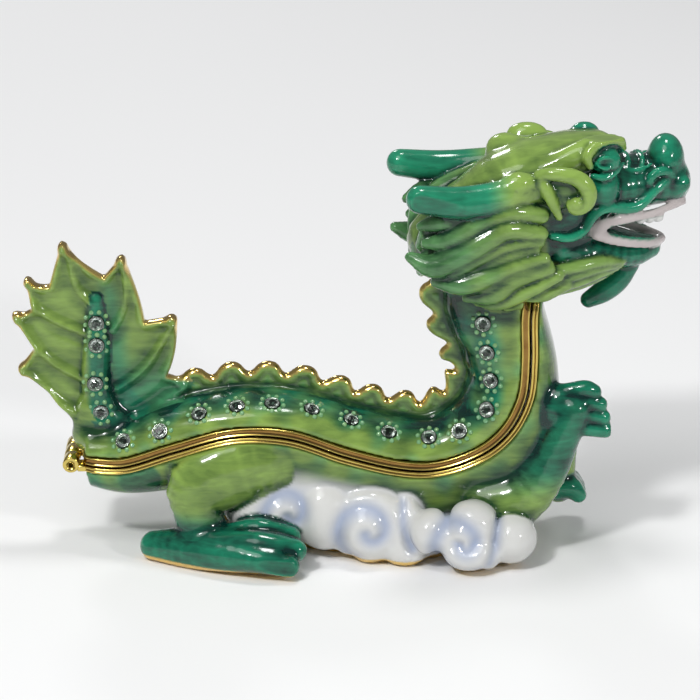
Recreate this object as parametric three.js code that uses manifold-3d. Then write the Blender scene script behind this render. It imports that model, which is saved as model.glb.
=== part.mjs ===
// A jewelled trinket box in the form of a dragon that stands on clouds, in millimetres, +Z up.
// The dragon faces +X. The origin is on the flat underside of the clouds, below the middle of the body.
// The back, tail, neck and head are the hinged lid, the belly, legs and clouds are the hollow base.
import * as THREE from "three";
import Module from "manifold-3d";
import { LoftGeometry } from "three/addons/geometries/LoftGeometry.js";
import { mergeVertices } from "three/addons/utils/BufferGeometryUtils.js";

// Walls and clearances
const WALL = 1.6;
const THROAT_WALL = 0.9; // the thin top of the throat, under the mane
const SEAM_GAP = 0.35; // the dark line between the two metal rims
const SOLDER_GAP = 0.05; // between a rim and the casting that it is soldered to

// Metal rims
const LID_RIM_HEIGHT = 1.35;
const BASE_RIM_HEIGHT = 1.0;
const RIM_PROUD = 0.4;
const RIM_WALL = 1.5;

// Hinge at the tail
const HINGE_X = -47.5;
const HINGE_Z = 15.3;
const BARREL_RADIUS = 1.38;
const BARREL_LENGTH = 10.5;
const LID_KNUCKLE_LENGTH = 3.4;
const KNUCKLE_GAP = 0.25;
const PIN_RADIUS = 0.55;
const PIN_CLEARANCE = 0.1;
const BARREL_SIDES = 12;

// The seam from the hinge to the throat: where it runs, half the body's width there,
// the height of the back over it and the depth of the belly under it
const SEAM = [
  { x: -45.1, z: 15.3, half: 5.5, rise: 4.6, depth: 4.8 },
  { x: -38.5, z: 15.7, half: 7.0, rise: 5.6, depth: 6.8 },
  { x: -30.2, z: 18.9, half: 8.6, rise: 6.4, depth: 9.6 },
  { x: -20.2, z: 22.0, half: 9.6, rise: 5.8, depth: 12.8 },
  { x: -10.9, z: 21.8, half: 9.8, rise: 5.7, depth: 15.0 },
  { x: -1.5, z: 18.5, half: 9.5, rise: 6.2, depth: 14.0 },
  { x: 7.5, z: 16.2, half: 9.2, rise: 6.6, depth: 12.5 },
  { x: 14.3, z: 16.1, half: 9.0, rise: 7.0, depth: 12.6 },
  { x: 21.0, z: 18.7, half: 9.0, rise: 8.2, depth: 15.5 },
  { x: 25.6, z: 22.9, half: 9.0, rise: 9.2, depth: 11.5 },
  { x: 28.3, z: 28.5, half: 8.4, rise: 9.9, depth: 6.2 },
  { x: 28.9, z: 34.6, half: 7.6, rise: 11.4, depth: 4.4 },
  { x: 28.8, z: 41.5, half: 6.8, rise: 14.0, depth: 2.6 },
  { x: 29.1, z: 45.0, half: 6.3, rise: 14.6, depth: 2.0 },
];
const SEAM_STEPS = 18;
const HOLLOW_STEPS = 12;
const ARCH_SIDES = 7;
const HOLLOW_SIDES = 5;
const ARCH_FULLNESS = 0.86; // 1 is a plain half ellipse, less is squarer

// Crest of plates along the back
const CREST_START = -29;
const CREST_PLATES = 12;
const CREST_THICKNESS = 1.9;
const CREST_TIP = 4.1;
const CREST_VALLEY = 1.5;
const CREST_ROOT = 1.4; // how far the crest is let into the back

// Tail leaf: a flat plate, its lobes from the lowest one in front, over the top, to the lowest behind
const LEAF_THICKNESS = 2.4;
const LEAF_LOBES = [
  { tip: [-27.4, 28.4], notch: [-31.3, 29.6] },
  { tip: [-29.6, 39.9], notch: [-34.9, 39.0] },
  { tip: [-38.4, 50.6], notch: [-41.5, 46.9] },
  { tip: [-48.4, 53.0], notch: [-50.6, 45.4] },
  { tip: [-54.6, 46.7], notch: [-53.6, 41.3] },
  { tip: [-56.9, 40.5], notch: [-53.4, 34.4] },
  { tip: [-56.3, 30.9], notch: [-51.4, 26.6] },
];
const LEAF_FOOT_FRONT = [-35.2, 21.6];
const LEAF_FOOT_BACK = [-46.6, 20.6];
const STALK = [[-38.9, 19.4], [-42.2, 23.2], [-43.3, 29.0], [-42.9, 35.7], [-42.9, 43.0]];
const STALK_RADII = [3.4, 3.0, 2.5, 2.2, 1.2];
const VEIN_HALF = [2.2, 0.9]; // across the plate, so that a vein stands out on both faces, and along it

// Stones: their places along the seam and the stalk are listed below
const STONE_RADIUS = 1.1;
const STONE_CROWN = 0.55;
const STONE_PAVILION = 0.75;
const STONE_PROUD = 0.15;
const STONE_TABLE = 0.55; // width of the flat top as a share of the stone
const STONE_SIDES = 6;
const SETTING_CLEARANCE = 0.12;
// Stones on the back: share of the seam's length, and share of the back's height over the rim
const BACK_STONES = [
  [0.082, 0.62],
  [0.151, 0.5],
  [0.222, 0.68],
  [0.278, 0.72],
  [0.329, 0.78],
  [0.385, 0.8],
  [0.454, 0.82],
  [0.526, 0.75],
  [0.612, 0.69],
  [0.686, 0.56],
  [0.775, 0.47],
  [0.85, 0.55],
  [0.906, 0.55],
  [0.957, 0.51],
];
const STALK_STONES = [0.28, 0.49, 0.74, 0.87]; // share of the stalk

// Head: its own frame sits on the neck's end, turned a little away from the box's near side
const NECK_END = SEAM[SEAM.length - 1];
const HEAD_BEHIND = 5.1; // of the neck's end
const HEAD_ABOVE = 1.0;
const HEAD_X = NECK_END.x - HEAD_BEHIND;
const HEAD_Z = NECK_END.z + HEAD_ABOVE;
const HEAD_YAW = THREE.MathUtils.degToRad(8);

// Feet and clouds stand on the ground plane
const HIND_FOOT_FORWARD = 12; // how far the left hind leg steps in front of the right one

const wasm = await Module();
wasm.setup();

// A closed three.js geometry as a solid that can be joined and cut
function solid(geometry) {
  const plain = new THREE.BufferGeometry();
  plain.setAttribute("position", geometry.getAttribute("position"));
  plain.setIndex(geometry.index);
  const merged = mergeVertices(plain, 1e-4);
  const corners = merged.index.array;
  const kept = [];
  for (let i = 0; i < corners.length; i += 3) {
    const [a, b, c] = [corners[i], corners[i + 1], corners[i + 2]];
    if (a !== b && b !== c && c !== a) kept.push(a, b, c);
  }
  const vertProperties = merged.attributes.position.array;
  return new wasm.Manifold(new wasm.Mesh({ numProp: 3, vertProperties, triVerts: new Uint32Array(kept) }));
}

const join = (solids) => solids.reduce((whole, piece) => whole.add(piece));

const cut = (whole, tools) => tools.reduce((left, tool) => left.subtract(tool), whole);

function meshOf(name, piece, color, roughness, metalness) {
  const { vertProperties, triVerts } = piece.getMesh();
  const geometry = new THREE.BufferGeometry();
  geometry.setAttribute("position", new THREE.BufferAttribute(vertProperties, 3));
  geometry.setIndex(new THREE.BufferAttribute(triVerts, 1));
  geometry.computeVertexNormals();
  const mesh = new THREE.Mesh(geometry, new THREE.MeshStandardMaterial({ color, roughness, metalness }));
  mesh.name = name;
  return mesh;
}

// Solid through a row of sections, which are turned round where they would face inwards
function loft(sections) {
  const [first, second] = sections;
  const middle = (section) =>
    section.reduce((sum, point) => sum.add(point), new THREE.Vector3()).divideScalar(section.length);
  const ahead = middle(second).sub(middle(first));
  const facing = new THREE.Vector3();
  first.forEach((point, i) => {
    const next = first[(i + 1) % first.length];
    facing.add(new THREE.Vector3().crossVectors(point, next));
  });
  const rings = facing.dot(ahead) > 0 ? sections : sections.map((section) => [...section].reverse());
  return solid(new LoftGeometry(rings, { capStart: true, capEnd: true }));
}

const smoothCurve = (points) => new THREE.CatmullRomCurve3(points, false, "catmullrom", 0.5);

const mirrorY = (points) => points.map(([x, y, z]) => [x, -y, z]);

// A rounded limb, lock or horn along a smooth line: radii are one number, or [across, up], at each point
function limb(points, radii, options = {}) {
  const { sides = 6, steps = 5, side = [0, 1, 0], roundStart = true, roundEnd = true } = options;
  const line = smoothCurve(points.map((p) => new THREE.Vector3(...p)));
  const pairs = radii.map((r) => (Array.isArray(r) ? r : [r, r]));
  const girth = smoothCurve(pairs.map((pair) => new THREE.Vector3(...pair, 0)));
  const sections = [];
  const ring = (t, slide, share) => {
    const ahead = line.getTangent(t);
    const across = new THREE.Vector3(...side);
    across.addScaledVector(ahead, -ahead.dot(across)).normalize();
    const up = new THREE.Vector3().crossVectors(ahead, across);
    const size = girth.getPoint(t);
    const middle = line.getPoint(t).addScaledVector(ahead, slide * Math.min(size.x, size.y));
    const points = [];
    for (let i = 0; i < sides; i++) {
      const angle = ((i + 0.5) / sides) * 2 * Math.PI;
      points.push(
        middle
          .clone()
          .addScaledVector(across, Math.cos(angle) * size.x * share)
          .addScaledVector(up, Math.sin(angle) * size.y * share),
      );
    }
    sections.push(points);
  };
  if (roundStart) ring(0, -0.9, 0.42);
  for (let i = 0; i <= steps; i++) ring(i / steps, 0, 1);
  if (roundEnd) ring(1, 0.9, 0.42);
  return loft(sections);
}

// A rounded lump with its three half sizes
function lump(center, halves, sides = 8) {
  const ball = new THREE.SphereGeometry(1, sides, Math.round(sides * 0.6));
  ball.scale(...halves);
  ball.translate(...center);
  return solid(ball);
}

function block(low, high) {
  const size = high.map((value, i) => value - low[i]);
  const box = new THREE.BoxGeometry(...size);
  box.translate(...low.map((value, i) => value + size[i] / 2));
  return solid(box);
}

// Bar along Y with flat ends
function barAlongY(x, z, radius, yLow, yHigh) {
  const bar = new THREE.CylinderGeometry(radius, radius, yHigh - yLow, BARREL_SIDES);
  bar.translate(x, (yLow + yHigh) / 2, z);
  return solid(bar);
}

// The body along the seam

const seamLine = smoothCurve(SEAM.map(({ x, z }) => new THREE.Vector3(x, 0, z)));
const seamSizes = smoothCurve(SEAM.map(({ half, rise, depth }) => new THREE.Vector3(half, rise, depth)));

// Where the seam is at t, from 0 at the hinge to 1 at the throat, slid along itself if asked
function station(t, slide = 0) {
  const along = seamLine.getTangent(t);
  const [half, rise, depth] = seamSizes.getPoint(t).toArray();
  return {
    at: seamLine.getPoint(t).addScaledVector(along, slide),
    up: new THREE.Vector3(-along.z, 0, along.x),
    along,
    half,
    rise,
    depth,
  };
}

const onSection = (place, y, height) =>
  place.at.clone().addScaledVector(place.up, height).add(new THREE.Vector3(0, y, 0));

// Half section over or under the seam, as an arch from one side to the other
function arch(place, half, low, high, sides = ARCH_SIDES) {
  const points = [];
  for (let i = 0; i <= sides; i++) {
    const angle = (Math.PI * i) / sides;
    const across = Math.sign(Math.cos(angle)) * Math.abs(Math.cos(angle)) ** ARCH_FULLNESS;
    const over = Math.abs(Math.sin(angle)) ** ARCH_FULLNESS;
    points.push(onSection(place, half * across, low + (high - low) * over));
  }
  return points;
}

function loftAlongSeam(sectionAt, first = 0, last = 1, steps = SEAM_STEPS) {
  const sections = [];
  for (let i = 0; i <= steps; i++) sections.push(sectionAt(first + ((last - first) * i) / steps));
  return loft(sections);
}

const LEG_REACH = 6; // how far legs and locks may stand out beside the seam
const THROAT_CLEARANCE = 1;
const THROAT_ROOM_FIRST = 0.8;

const LID_FLOOR = SEAM_GAP / 2 + LID_RIM_HEIGHT + SOLDER_GAP;
const BASE_ROOF = -(SEAM_GAP / 2 + BASE_RIM_HEIGHT + SOLDER_GAP);
const SEAM_LENGTH = seamLine.getLength();
const CAVITY_FIRST = WALL / SEAM_LENGTH;
const CAVITY_LAST = 1 - WALL / SEAM_LENGTH;

const backShell = () => loftAlongSeam((t) => arch(station(t), station(t).half, LID_FLOOR, station(t).rise));

const bellyShell = () =>
  loftAlongSeam((t) => arch(station(t), station(t).half, BASE_ROOF, -station(t).depth));

const lidHollow = () =>
  loftAlongSeam(
    (t) => arch(station(t), station(t).half - WALL, 0, station(t).rise - WALL, HOLLOW_SIDES),
    CAVITY_FIRST,
    CAVITY_LAST,
    HOLLOW_STEPS,
  );

function baseHollow() {
  const section = (t) => {
    const place = station(t);
    const floor = Math.max(place.depth - WALL, BASE_RIM_HEIGHT + THROAT_WALL / 2);
    return arch(place, place.half - WALL, 0, -floor, HOLLOW_SIDES);
  };
  return loftAlongSeam(section, CAVITY_FIRST, CAVITY_LAST, HOLLOW_STEPS);
}

// A rim between two heights over the seam, proud of the body outside and open inside
function rim(low, high) {
  const band = (t, half) => {
    const slide = t === 0 ? -RIM_PROUD : 0;
    const place = station(t, slide);
    return [
      onSection(place, half, low),
      onSection(place, half, high),
      onSection(place, -half, high),
      onSection(place, -half, low),
    ];
  };
  const through = (t) => {
    const place = station(t);
    const half = place.half - RIM_WALL;
    return [
      onSection(place, half, low - 1),
      onSection(place, half, high + 1),
      onSection(place, -half, high + 1),
      onSection(place, -half, low - 1),
    ];
  };
  const outer = loftAlongSeam((t) => band(t, station(t).half + RIM_PROUD));
  return outer.subtract(loftAlongSeam(through, CAVITY_FIRST, CAVITY_LAST));
}

// Crest, a row of rounded plates at an even pitch along the ridge of the back
function crest() {
  const ridgePoint = (share, height) => {
    const place = station(share);
    const point = onSection(place, 0, place.rise + height);
    return new THREE.Vector2(point.x, point.z);
  };
  const ridgeShares = Array.from({ length: SEAM.length * 2 - 1 }, (_, i) => i / (SEAM.length * 2 - 2));
  const ridge = new THREE.SplineCurve(ridgeShares.map((share) => ridgePoint(share, 0)));
  const startShare = (CREST_START - ridge.points[0].x) / ridge.getLength();
  const plateAt = (share, height) =>
    ridgePoint(ridge.getUtoTmapping(startShare + (1 - startShare) * share), height);
  const tooth = [
    [0.0, CREST_VALLEY],
    [0.32, CREST_TIP - 0.2],
    [0.66, CREST_TIP],
    [0.92, CREST_VALLEY + 0.6],
  ];
  const edge = [];
  for (let i = 0; i < CREST_PLATES; i++) {
    for (const [along, height] of tooth) edge.push(plateAt((i + along) / CREST_PLATES, height));
  }
  const foot = [];
  for (let i = 0; i <= CREST_PLATES; i++) foot.push(plateAt(i / CREST_PLATES, -CREST_ROOT));
  const outline = new THREE.Shape([...edge, ...foot.reverse()]);
  const plate = new THREE.ExtrudeGeometry(outline, { depth: CREST_THICKNESS, bevelEnabled: false });
  plate.rotateX(Math.PI / 2);
  plate.translate(0, CREST_THICKNESS / 2, 0);
  return solid(plate);
}

// Tail leaf with a vein to each tip, on a stalk that carries stones
function tailLeaf() {
  const outline = new THREE.Shape();
  outline.moveTo(...LEAF_FOOT_FRONT);
  let last = LEAF_FOOT_FRONT;
  for (const { tip, notch } of LEAF_LOBES) {
    const outward = tip[0] > STALK[2][0] ? 1.2 : -0.4;
    const bulge = [(last[0] + tip[0]) / 2 + outward, (last[1] + tip[1]) / 2 - 1.0];
    outline.quadraticCurveTo(...bulge, ...tip);
    outline.lineTo(...notch);
    last = notch;
  }
  outline.lineTo(...LEAF_FOOT_BACK);
  const plate = new THREE.ExtrudeGeometry(outline, {
    depth: LEAF_THICKNESS,
    bevelEnabled: false,
    curveSegments: 2,
  });
  plate.rotateX(Math.PI / 2);
  plate.translate(0, LEAF_THICKNESS / 2, 0);
  const stalk = limb(
    STALK.map(([x, z]) => [x, 0, z]),
    STALK_RADII,
    { sides: 8, steps: 4, roundStart: false },
  );
  const veins = LEAF_LOBES.map(({ tip }) => {
    const root = STALK.reduce((best, p) =>
      Math.abs(p[1] + 7 - tip[1]) < Math.abs(best[1] + 7 - tip[1]) ? p : best,
    );
    const end = [tip[0] + (root[0] - tip[0]) * 0.16, tip[1] + (root[1] - tip[1]) * 0.16];
    const middle = [(root[0] + end[0]) / 2, (root[1] + end[1]) / 2 - 0.8];
    return limb(
      [
        [root[0], 0, root[1]],
        [middle[0], 0, middle[1]],
        [end[0], 0, end[1]],
      ],
      [VEIN_HALF, VEIN_HALF, VEIN_HALF.map((half) => half * 0.8)],
      { sides: 4, steps: 2, roundStart: false, roundEnd: false },
    );
  });
  return join([solid(plate), stalk, ...veins]);
}

// Head, in its own frame: x along the snout, y to its left, z up

const headPlace = new THREE.Matrix4()
  .makeRotationZ(HEAD_YAW)
  .setPosition(HEAD_X, 0, HEAD_Z);

const onHead = (points) => points.map((p) => new THREE.Vector3(...p).applyMatrix4(headPlace).toArray());

const headLimb = (points, radii, options) => limb(onHead(points), radii, options);

const headLump = (center, halves, sides) => lump(onHead([center])[0], halves, sides);

// The same limb on the right side, as given, and mirrored on the left
const headPair = (points, radii, options) => [
  headLimb(points, radii, options),
  headLimb(mirrorY(points), radii, options),
];

// Locks of the mane from the cheek to their tips behind the neck, for the right side
const UPPER_LIP = [[13.4, -7.6, 8.6], [16.0, -7.0, 11.4], [23.0, -5.4, 12.0], [29.4, -2.0, 13.2]];
const LOWER_LIP = [[13.4, -7.4, 8.8], [17.4, -6.8, 7.0], [22.8, -5.2, 6.8], [26.6, -1.0, 5.4]];
const EAR_RIM = [
  [3.8, -10.0, 21.0],
  [8.6, -11.3, 20.8],
  [12.6, -11.6, 18.0],
  [11.6, -11.5, 15.2],
  [9.0, -11.2, 16.6],
];
const EAR_FOLD = [[4.2, -10.2, 20.8], [5.4, -10.2, 17.4], [7.4, -9.8, 13.6]];
const LOCKS = [
  [[3.2, -8.8, 15.8], [-1.6, -9.6, 15.9], [-6.6, -9.2, 13.4], [-13.0, -7.8, 10.2]],
  [[4.4, -10.2, 12.4], [-2.2, -10.4, 12.8], [-8.6, -9.8, 8.6], [-16.2, -8.0, 7.6]],
  [[5.0, -9.4, 8.6], [0.6, -9.8, 7.0], [-5.0, -9.0, 3.4], [-12.2, -7.2, 3.2]],
  [[7.2, -9.4, 5.4], [2.0, -9.8, 3.2], [-2.4, -9.2, 0.6], [-6.8, -7.8, 0.0]],
  [[9.2, -8.0, 2.6], [4.8, -8.4, 0.8], [0.8, -7.8, -1.0], [-3.8, -6.0, -1.6]],
];
const LOCK_RADII = [1.6, 2.1, 1.9, 0.8];

function head() {
  const skull = [
    headLump([8.0, 0, 13.6], [12.6, 10.2, 11.4], 8),
    headLimb([[2, 0, 12], [-6, 0, 9.5], [-12.5, 0, 8]], [[10.0, 9.8], [9.4, 8.4], [6.6, 5.0]], {
      sides: 7,
      steps: 2,
    }),
    headLimb([[4, 0, 6], [0, 0, 0]], [[9.4, 6.6], [7.6, 6.4]], { sides: 7, steps: 1, roundEnd: false }),
  ];
  const brow = [
    headLimb(
      [[-8, 0, 16.5], [0, 0, 20.8], [9, 0, 22.6], [16.6, 0, 22.2]],
      [[3.4, 2.6], [5.6, 3.6], [6.8, 3.4], [5.8, 3.0]],
      { sides: 7, steps: 3 },
    ),
    ...headPair([[12.6, -6.6, 22.0], [16.2, -6.2, 23.8], [18.9, -5.8, 20.6]], [1.6, 1.8, 1.3], {
      sides: 4,
      steps: 2,
    }),
  ];
  const eyes = [-1, 1].map((sideways) => headLump([15.6, sideways * 7.2, 21.0], [2.4, 1.7, 2.0], 5));
  const snout = [
    headLimb([[13, 0, 16.2], [20, 0, 16.2], [27.6, 0, 16.4]], [[8.2, 5.2], [6.4, 4.8], [4.6, 4.0]], {
      sides: 8,
      steps: 2,
    }),
    ...[-1, 1].map((sideways) => headLump([27.4, sideways * 1.9, 21.0], [2.7, 2.5, 3.4], 5)),
    ...[-1, 1].map((sideways) => headLump([29.4, sideways * 1.9, 15.6], [2.6, 2.6, 2.5], 5)),
    ...headPair([[19.8, -6.2, 14.4], [27.8, -4.2, 18.0]], [1.1, 1.0], { sides: 4, steps: 1 }),
  ];
  const lips = [
    ...headPair(UPPER_LIP, [1.2, 1.5, 1.4, 1.2], {
      sides: 4,
      steps: 2,
      roundStart: false,
    }),
    ...headPair(LOWER_LIP, [1.2, 1.4, 1.3, 1.2], {
      sides: 4,
      steps: 2,
      roundStart: false,
    }),
  ];
  const jaw = [
    headLimb([[9, 0, 7.4], [17, 0, 5.6], [24.4, 0, 4.6]], [[8.4, 4.6], [6.6, 3.2], [3.4, 2.2]], {
      sides: 8,
      steps: 2,
    }),
    ...[-1, 1].map((sideways) => headLump([23.4, sideways * 4.4, 11.0], [2.0, 1.2, 1.5], 5)),
    headLimb([[21.6, 0, 2.4], [18.0, 0, -1.2], [13.2, 0, -4.0]], [1.4, 1.8, 1.2], { sides: 5, steps: 3 }),
  ];
  const ears = [
    ...headPair(EAR_RIM, [1.0, 1.4, 1.4, 1.2, 1.1], { sides: 4, steps: 4, roundStart: false }),
    ...headPair(EAR_FOLD, [0.9, 1.0, 0.8], { sides: 4, steps: 1 }),
    ...[-1, 1].map((sideways) => headLump([8.0, sideways * 9.8, 17.8], [4.2, 1.2, 3.4], 5)),
  ];
  const horns = [
    ...headPair(
      [[4.0, -7.6, 18.4], [-1.2, -9.2, 17.2], [-8.0, -10.3, 16.9], [-15.2, -10.4, 18.4]],
      [2.8, 2.8, 2.6, 2.0],
      { sides: 6, steps: 2, roundStart: false },
    ),
    ...[-1, 1].map((sideways) => headLump([1.0, sideways * 8.8, 20.4], [2.6, 2.2, 2.0], 5)),
  ];
  const lockShape = { sides: 4, steps: 3, roundStart: false, roundEnd: false };
  const mane = LOCKS.flatMap((path) => headPair(path, LOCK_RADII, lockShape));
  return join([...skull, ...brow, ...eyes, ...snout, ...lips, ...jaw, ...ears, ...horns, ...mane]);
}

// Legs, given for the right side, which is the side with a negative y

const THIGH = [
  [-12.5, -7.6, 16.6],
  [-19, -8.8, 15.8],
  [-25.6, -9.2, 13.0],
  [-26.2, -9.6, 9.0],
  [-25.2, -10.0, 5.0],
];

function hindLeg(forward, sideways) {
  const place = (points) => points.map(([x, y, z]) => [x + forward, sideways * y, z]);
  const toes = [
    [[-22, -11.6, 5.6], [-16, -12.0, 6.6], [-10.8, -12.2, 5.2]],
    [[-22, -13.6, 5.0], [-16, -15.0, 5.4], [-9.8, -15.4, 4.2]],
    [[-23, -14.4, 3.6], [-17, -17.2, 3.6], [-11.0, -18.2, 2.6]],
  ];
  return join([
    limb(
      place(THIGH),
      [[2.4, 3.6], [3.2, 5.6], [3.6, 5.6], [3.4, 4.1], [3.6, 4.2]],
      { sides: 7, steps: 4, roundEnd: false },
    ),
    limb(
      place([[-33.4, -8.6, 2.2], [-27, -11.0, 2.8], [-20, -13.4, 3.4], [-13.2, -14.6, 3.2]]),
      [[2.6, 2.6], [3.8, 3.6], [4.6, 3.6], [4.4, 3.2]],
      { sides: 7, steps: 3 },
    ),
    ...toes.map((path) => limb(place(path), [1.4, 2.0, 1.8], { sides: 4, steps: 2, roundStart: false })),
  ]);
}

const finger = (i, z) => [[35.4, -6.6, z - 0.6], [38.4, -6.9 - 0.3 * i, z], [41.2, -6.9 - 0.3 * i, z - 0.6]];

function forelegs() {
  const fingers = [29.4, 27.3, 25.2, 23.4].map((z, i) =>
    limb(finger(i, z), [1.3, 1.45, 1.2], {
      sides: 4,
      steps: 2,
      roundStart: false,
    }),
  );
  const farClaws = [4.0, 6.4, 8.6].map((y) =>
    limb([[35.6, y, 6.6], [38.0, y + 0.2, 6.6], [39.4, y + 0.2, 5.4]], [1.4, 1.45, 1.2], {
      sides: 4,
      steps: 2,
      roundStart: false,
    }),
  );
  const nearArm = limb(
    [[22, -6.4, 9.0], [27.2, -6.8, 10.2], [31.4, -7.4, 15.0], [33.8, -7.6, 20.4], [36.2, -7.4, 26.0]],
    [4.8, 4.9, 3.8, 3.2, 2.8],
    { sides: 6, steps: 4 },
  );
  const farArm = limb(
    [[24, 6.0, 11.0], [30.0, 6.0, 14.6], [34.4, 5.4, 17.0], [35.0, 5.8, 12.0], [34.8, 6.4, 6.8]],
    [4.2, 3.8, 3.2, 2.7, 2.8],
    { sides: 6, steps: 4 },
  );
  const palm = lump([34.0, -6.2, 25.6], [3.6, 3.2, 4.6], 6);
  return join([nearArm, farArm, palm, ...fingers, ...farClaws]);
}

// Clouds: a bank below the belly, two low ones on each flank and one of four lobes that stands out in front
const CLOUD_BANK = [[-9, 0, 2.4], [3, 0, 2.8], [14, 0, 3.2], [25, 0, 3.0]];
const CLOUD_BANK_RADII = [[5, 5], [9.6, 5], [11.6, 5], [9, 5]];

function clouds() {
  const flank = [-1, 1].flatMap((sideways) => [
    lump([-13.4, sideways * 6.2, 8.6], [8.8, 5.2, 6.0], 6),
    lump([3.0, sideways * 8.0, 5.8], [8.2, 5.6, 6.8], 6),
    lump([8.6, sideways * 8.4, 3.4], [4.6, 4.8, 4.6], 6),
    lump([13.8, sideways * 12.2, 6.8], [4.6, 4.4, 4.2], 6),
    lump([19.4, sideways * 12.6, 7.4], [4.9, 4.6, 4.4], 6),
    lump([25.6, sideways * 11.8, 5.4], [4.7, 4.6, 4.4], 6),
    lump([19.4, sideways * 13.2, 3.8], [5.2, 4.4, 4.4], 6),
  ]);
  const bank = limb(CLOUD_BANK, CLOUD_BANK_RADII, {
    sides: 8,
    steps: 4,
  });
  return join([bank, ...flank]);
}

// Knuckles and lugs of the hinge, between two places along Y
function knuckle(yLow, yHigh, lugLow, lugHigh) {
  const barrel = barAlongY(HINGE_X, HINGE_Z, BARREL_RADIUS, yLow, yHigh);
  const lug = block([HINGE_X, yLow, lugLow], [SEAM[0].x, yHigh, lugHigh]);
  const bore = barAlongY(HINGE_X, HINGE_Z, PIN_RADIUS + PIN_CLEARANCE, yLow - 1, yHigh + 1);
  return barrel.add(lug).subtract(bore);
}

// Places of one side's stones, each with the direction that it faces, from the leaf to the neck

function stoneOnStalk(share, sideways) {
  const line = smoothCurve(STALK.map(([x, z]) => new THREE.Vector3(x, 0, z)));
  const girth = smoothCurve(STALK_RADII.map((radius) => new THREE.Vector3(radius, 0, 0))).getPoint(share).x;
  const facing = new THREE.Vector3(0, sideways, 0);
  return { point: line.getPoint(share).addScaledVector(facing, girth * Math.cos(Math.PI / 8)), facing };
}

function stoneOnBack(share, heightShare, sideways) {
  const place = station(seamLine.getUtoTmapping(share));
  const angle = Math.asin(heightShare ** (1 / ARCH_FULLNESS));
  const acrossShare = Math.cos(angle) ** ARCH_FULLNESS;
  const high = place.rise - LID_FLOOR;
  const point = onSection(place, sideways * place.half * acrossShare, LID_FLOOR + high * heightShare);
  const slope = 2 / ARCH_FULLNESS - 1;
  const facing = place.up
    .clone()
    .multiplyScalar(heightShare ** slope / high)
    .add(new THREE.Vector3(0, (sideways * acrossShare ** slope) / place.half, 0))
    .normalize();
  return { point, facing };
}

const stonePlaces = (sideways) => [
  ...STALK_STONES.map((share) => stoneOnStalk(share, sideways)),
  ...BACK_STONES.map(([share, heightShare]) => stoneOnBack(share, heightShare, sideways)),
];

// Turned shape whose axis is at a stone's place and points the way that it faces
function turnedAt({ point, facing }, profile) {
  const corners = profile.map(([radius, height]) => new THREE.Vector2(radius, height));
  const turned = new THREE.LatheGeometry(corners, STONE_SIDES);
  turned.applyQuaternion(new THREE.Quaternion().setFromUnitVectors(new THREE.Vector3(0, 1, 0), facing));
  turned.translate(...point.toArray());
  return solid(turned);
}

const stone = (place) =>
  turnedAt(place, [
    [0, STONE_PROUD - STONE_PAVILION],
    [STONE_RADIUS, STONE_PROUD],
    [STONE_RADIUS * STONE_TABLE, STONE_PROUD + STONE_CROWN],
    [0, STONE_PROUD + STONE_CROWN],
  ]);

const pocket = (place) =>
  turnedAt(place, [
    [0, STONE_PROUD - STONE_PAVILION - SETTING_CLEARANCE],
    [STONE_RADIUS + SETTING_CLEARANCE, STONE_PROUD - STONE_PAVILION - SETTING_CLEARANCE],
    [STONE_RADIUS + SETTING_CLEARANCE, STONE_CROWN + STONE_PROUD + 1],
    [0, STONE_CROWN + STONE_PROUD + 1],
  ]);

// The pieces

// Room along the seam between two heights, a little wider than the rims
function seamRoom(lowAt, highAt, first, last) {
  const section = (t) => {
    const place = station(t, t === 1 ? SEAM_GAP + RIM_PROUD : 0);
    const half = place.half + LEG_REACH;
    return [
      onSection(place, half, lowAt(place)),
      onSection(place, half, highAt(place)),
      onSection(place, -half, highAt(place)),
      onSection(place, -half, lowAt(place)),
    ];
  };
  return loftAlongSeam(section, first, last);
}

const HEAD_HOLLOW = [[-3, 0, -3], [1, 0, 4], [5, 0, 12]];
const HEAD_HOLLOW_RADII = [[4.4, 5], [5.5, 5.5], [5, 5]];

function lidCasting(places) {
  const headHollow = headLimb(HEAD_HOLLOW, HEAD_HOLLOW_RADII, { sides: 8, steps: 3 });
  const throatRoom = seamRoom(
    (place) => -(place.depth + THROAT_CLEARANCE),
    () => LID_FLOOR,
    THROAT_ROOM_FIRST,
    1,
  );
  const whole = join([backShell(), crest(), tailLeaf(), head()]);
  return cut(whole, [lidHollow(), headHollow, throatRoom, ...places.map(pocket)]);
}

// What lies under the ground plane is cut off by a block wider than the box
const GROUND_HALF_LENGTH = 80;
const GROUND_HALF_WIDTH = 60;
const GROUND_DEPTH = 20;

function baseCasting() {
  const ground = block(
    [-GROUND_HALF_LENGTH, -GROUND_HALF_WIDTH, -GROUND_DEPTH],
    [GROUND_HALF_LENGTH, GROUND_HALF_WIDTH, 0],
  );
  const lidRoom = seamRoom(
    () => BASE_ROOF,
    () => LEG_REACH,
    0,
    1,
  );
  const whole = join([bellyShell(), hindLeg(0, 1), hindLeg(HIND_FOOT_FORWARD, -1), forelegs(), clouds()]);
  return cut(whole, [baseHollow(), lidRoom, ground]);
}

function lidRim() {
  const bottom = SEAM_GAP / 2;
  const top = bottom + LID_RIM_HEIGHT;
  const middle = LID_KNUCKLE_LENGTH / 2;
  return rim(bottom, top).add(knuckle(-middle, middle, HINGE_Z + bottom, HINGE_Z + top));
}

function baseRim() {
  const inner = LID_KNUCKLE_LENGTH / 2 + KNUCKLE_GAP;
  const outer = BARREL_LENGTH / 2;
  const top = HINGE_Z - SEAM_GAP / 2;
  const bottom = top - BASE_RIM_HEIGHT;
  return join([
    rim(-(SEAM_GAP / 2 + BASE_RIM_HEIGHT), -SEAM_GAP / 2),
    knuckle(-outer, -inner, bottom, top),
    knuckle(inner, outer, bottom, top),
  ]);
}

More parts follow.
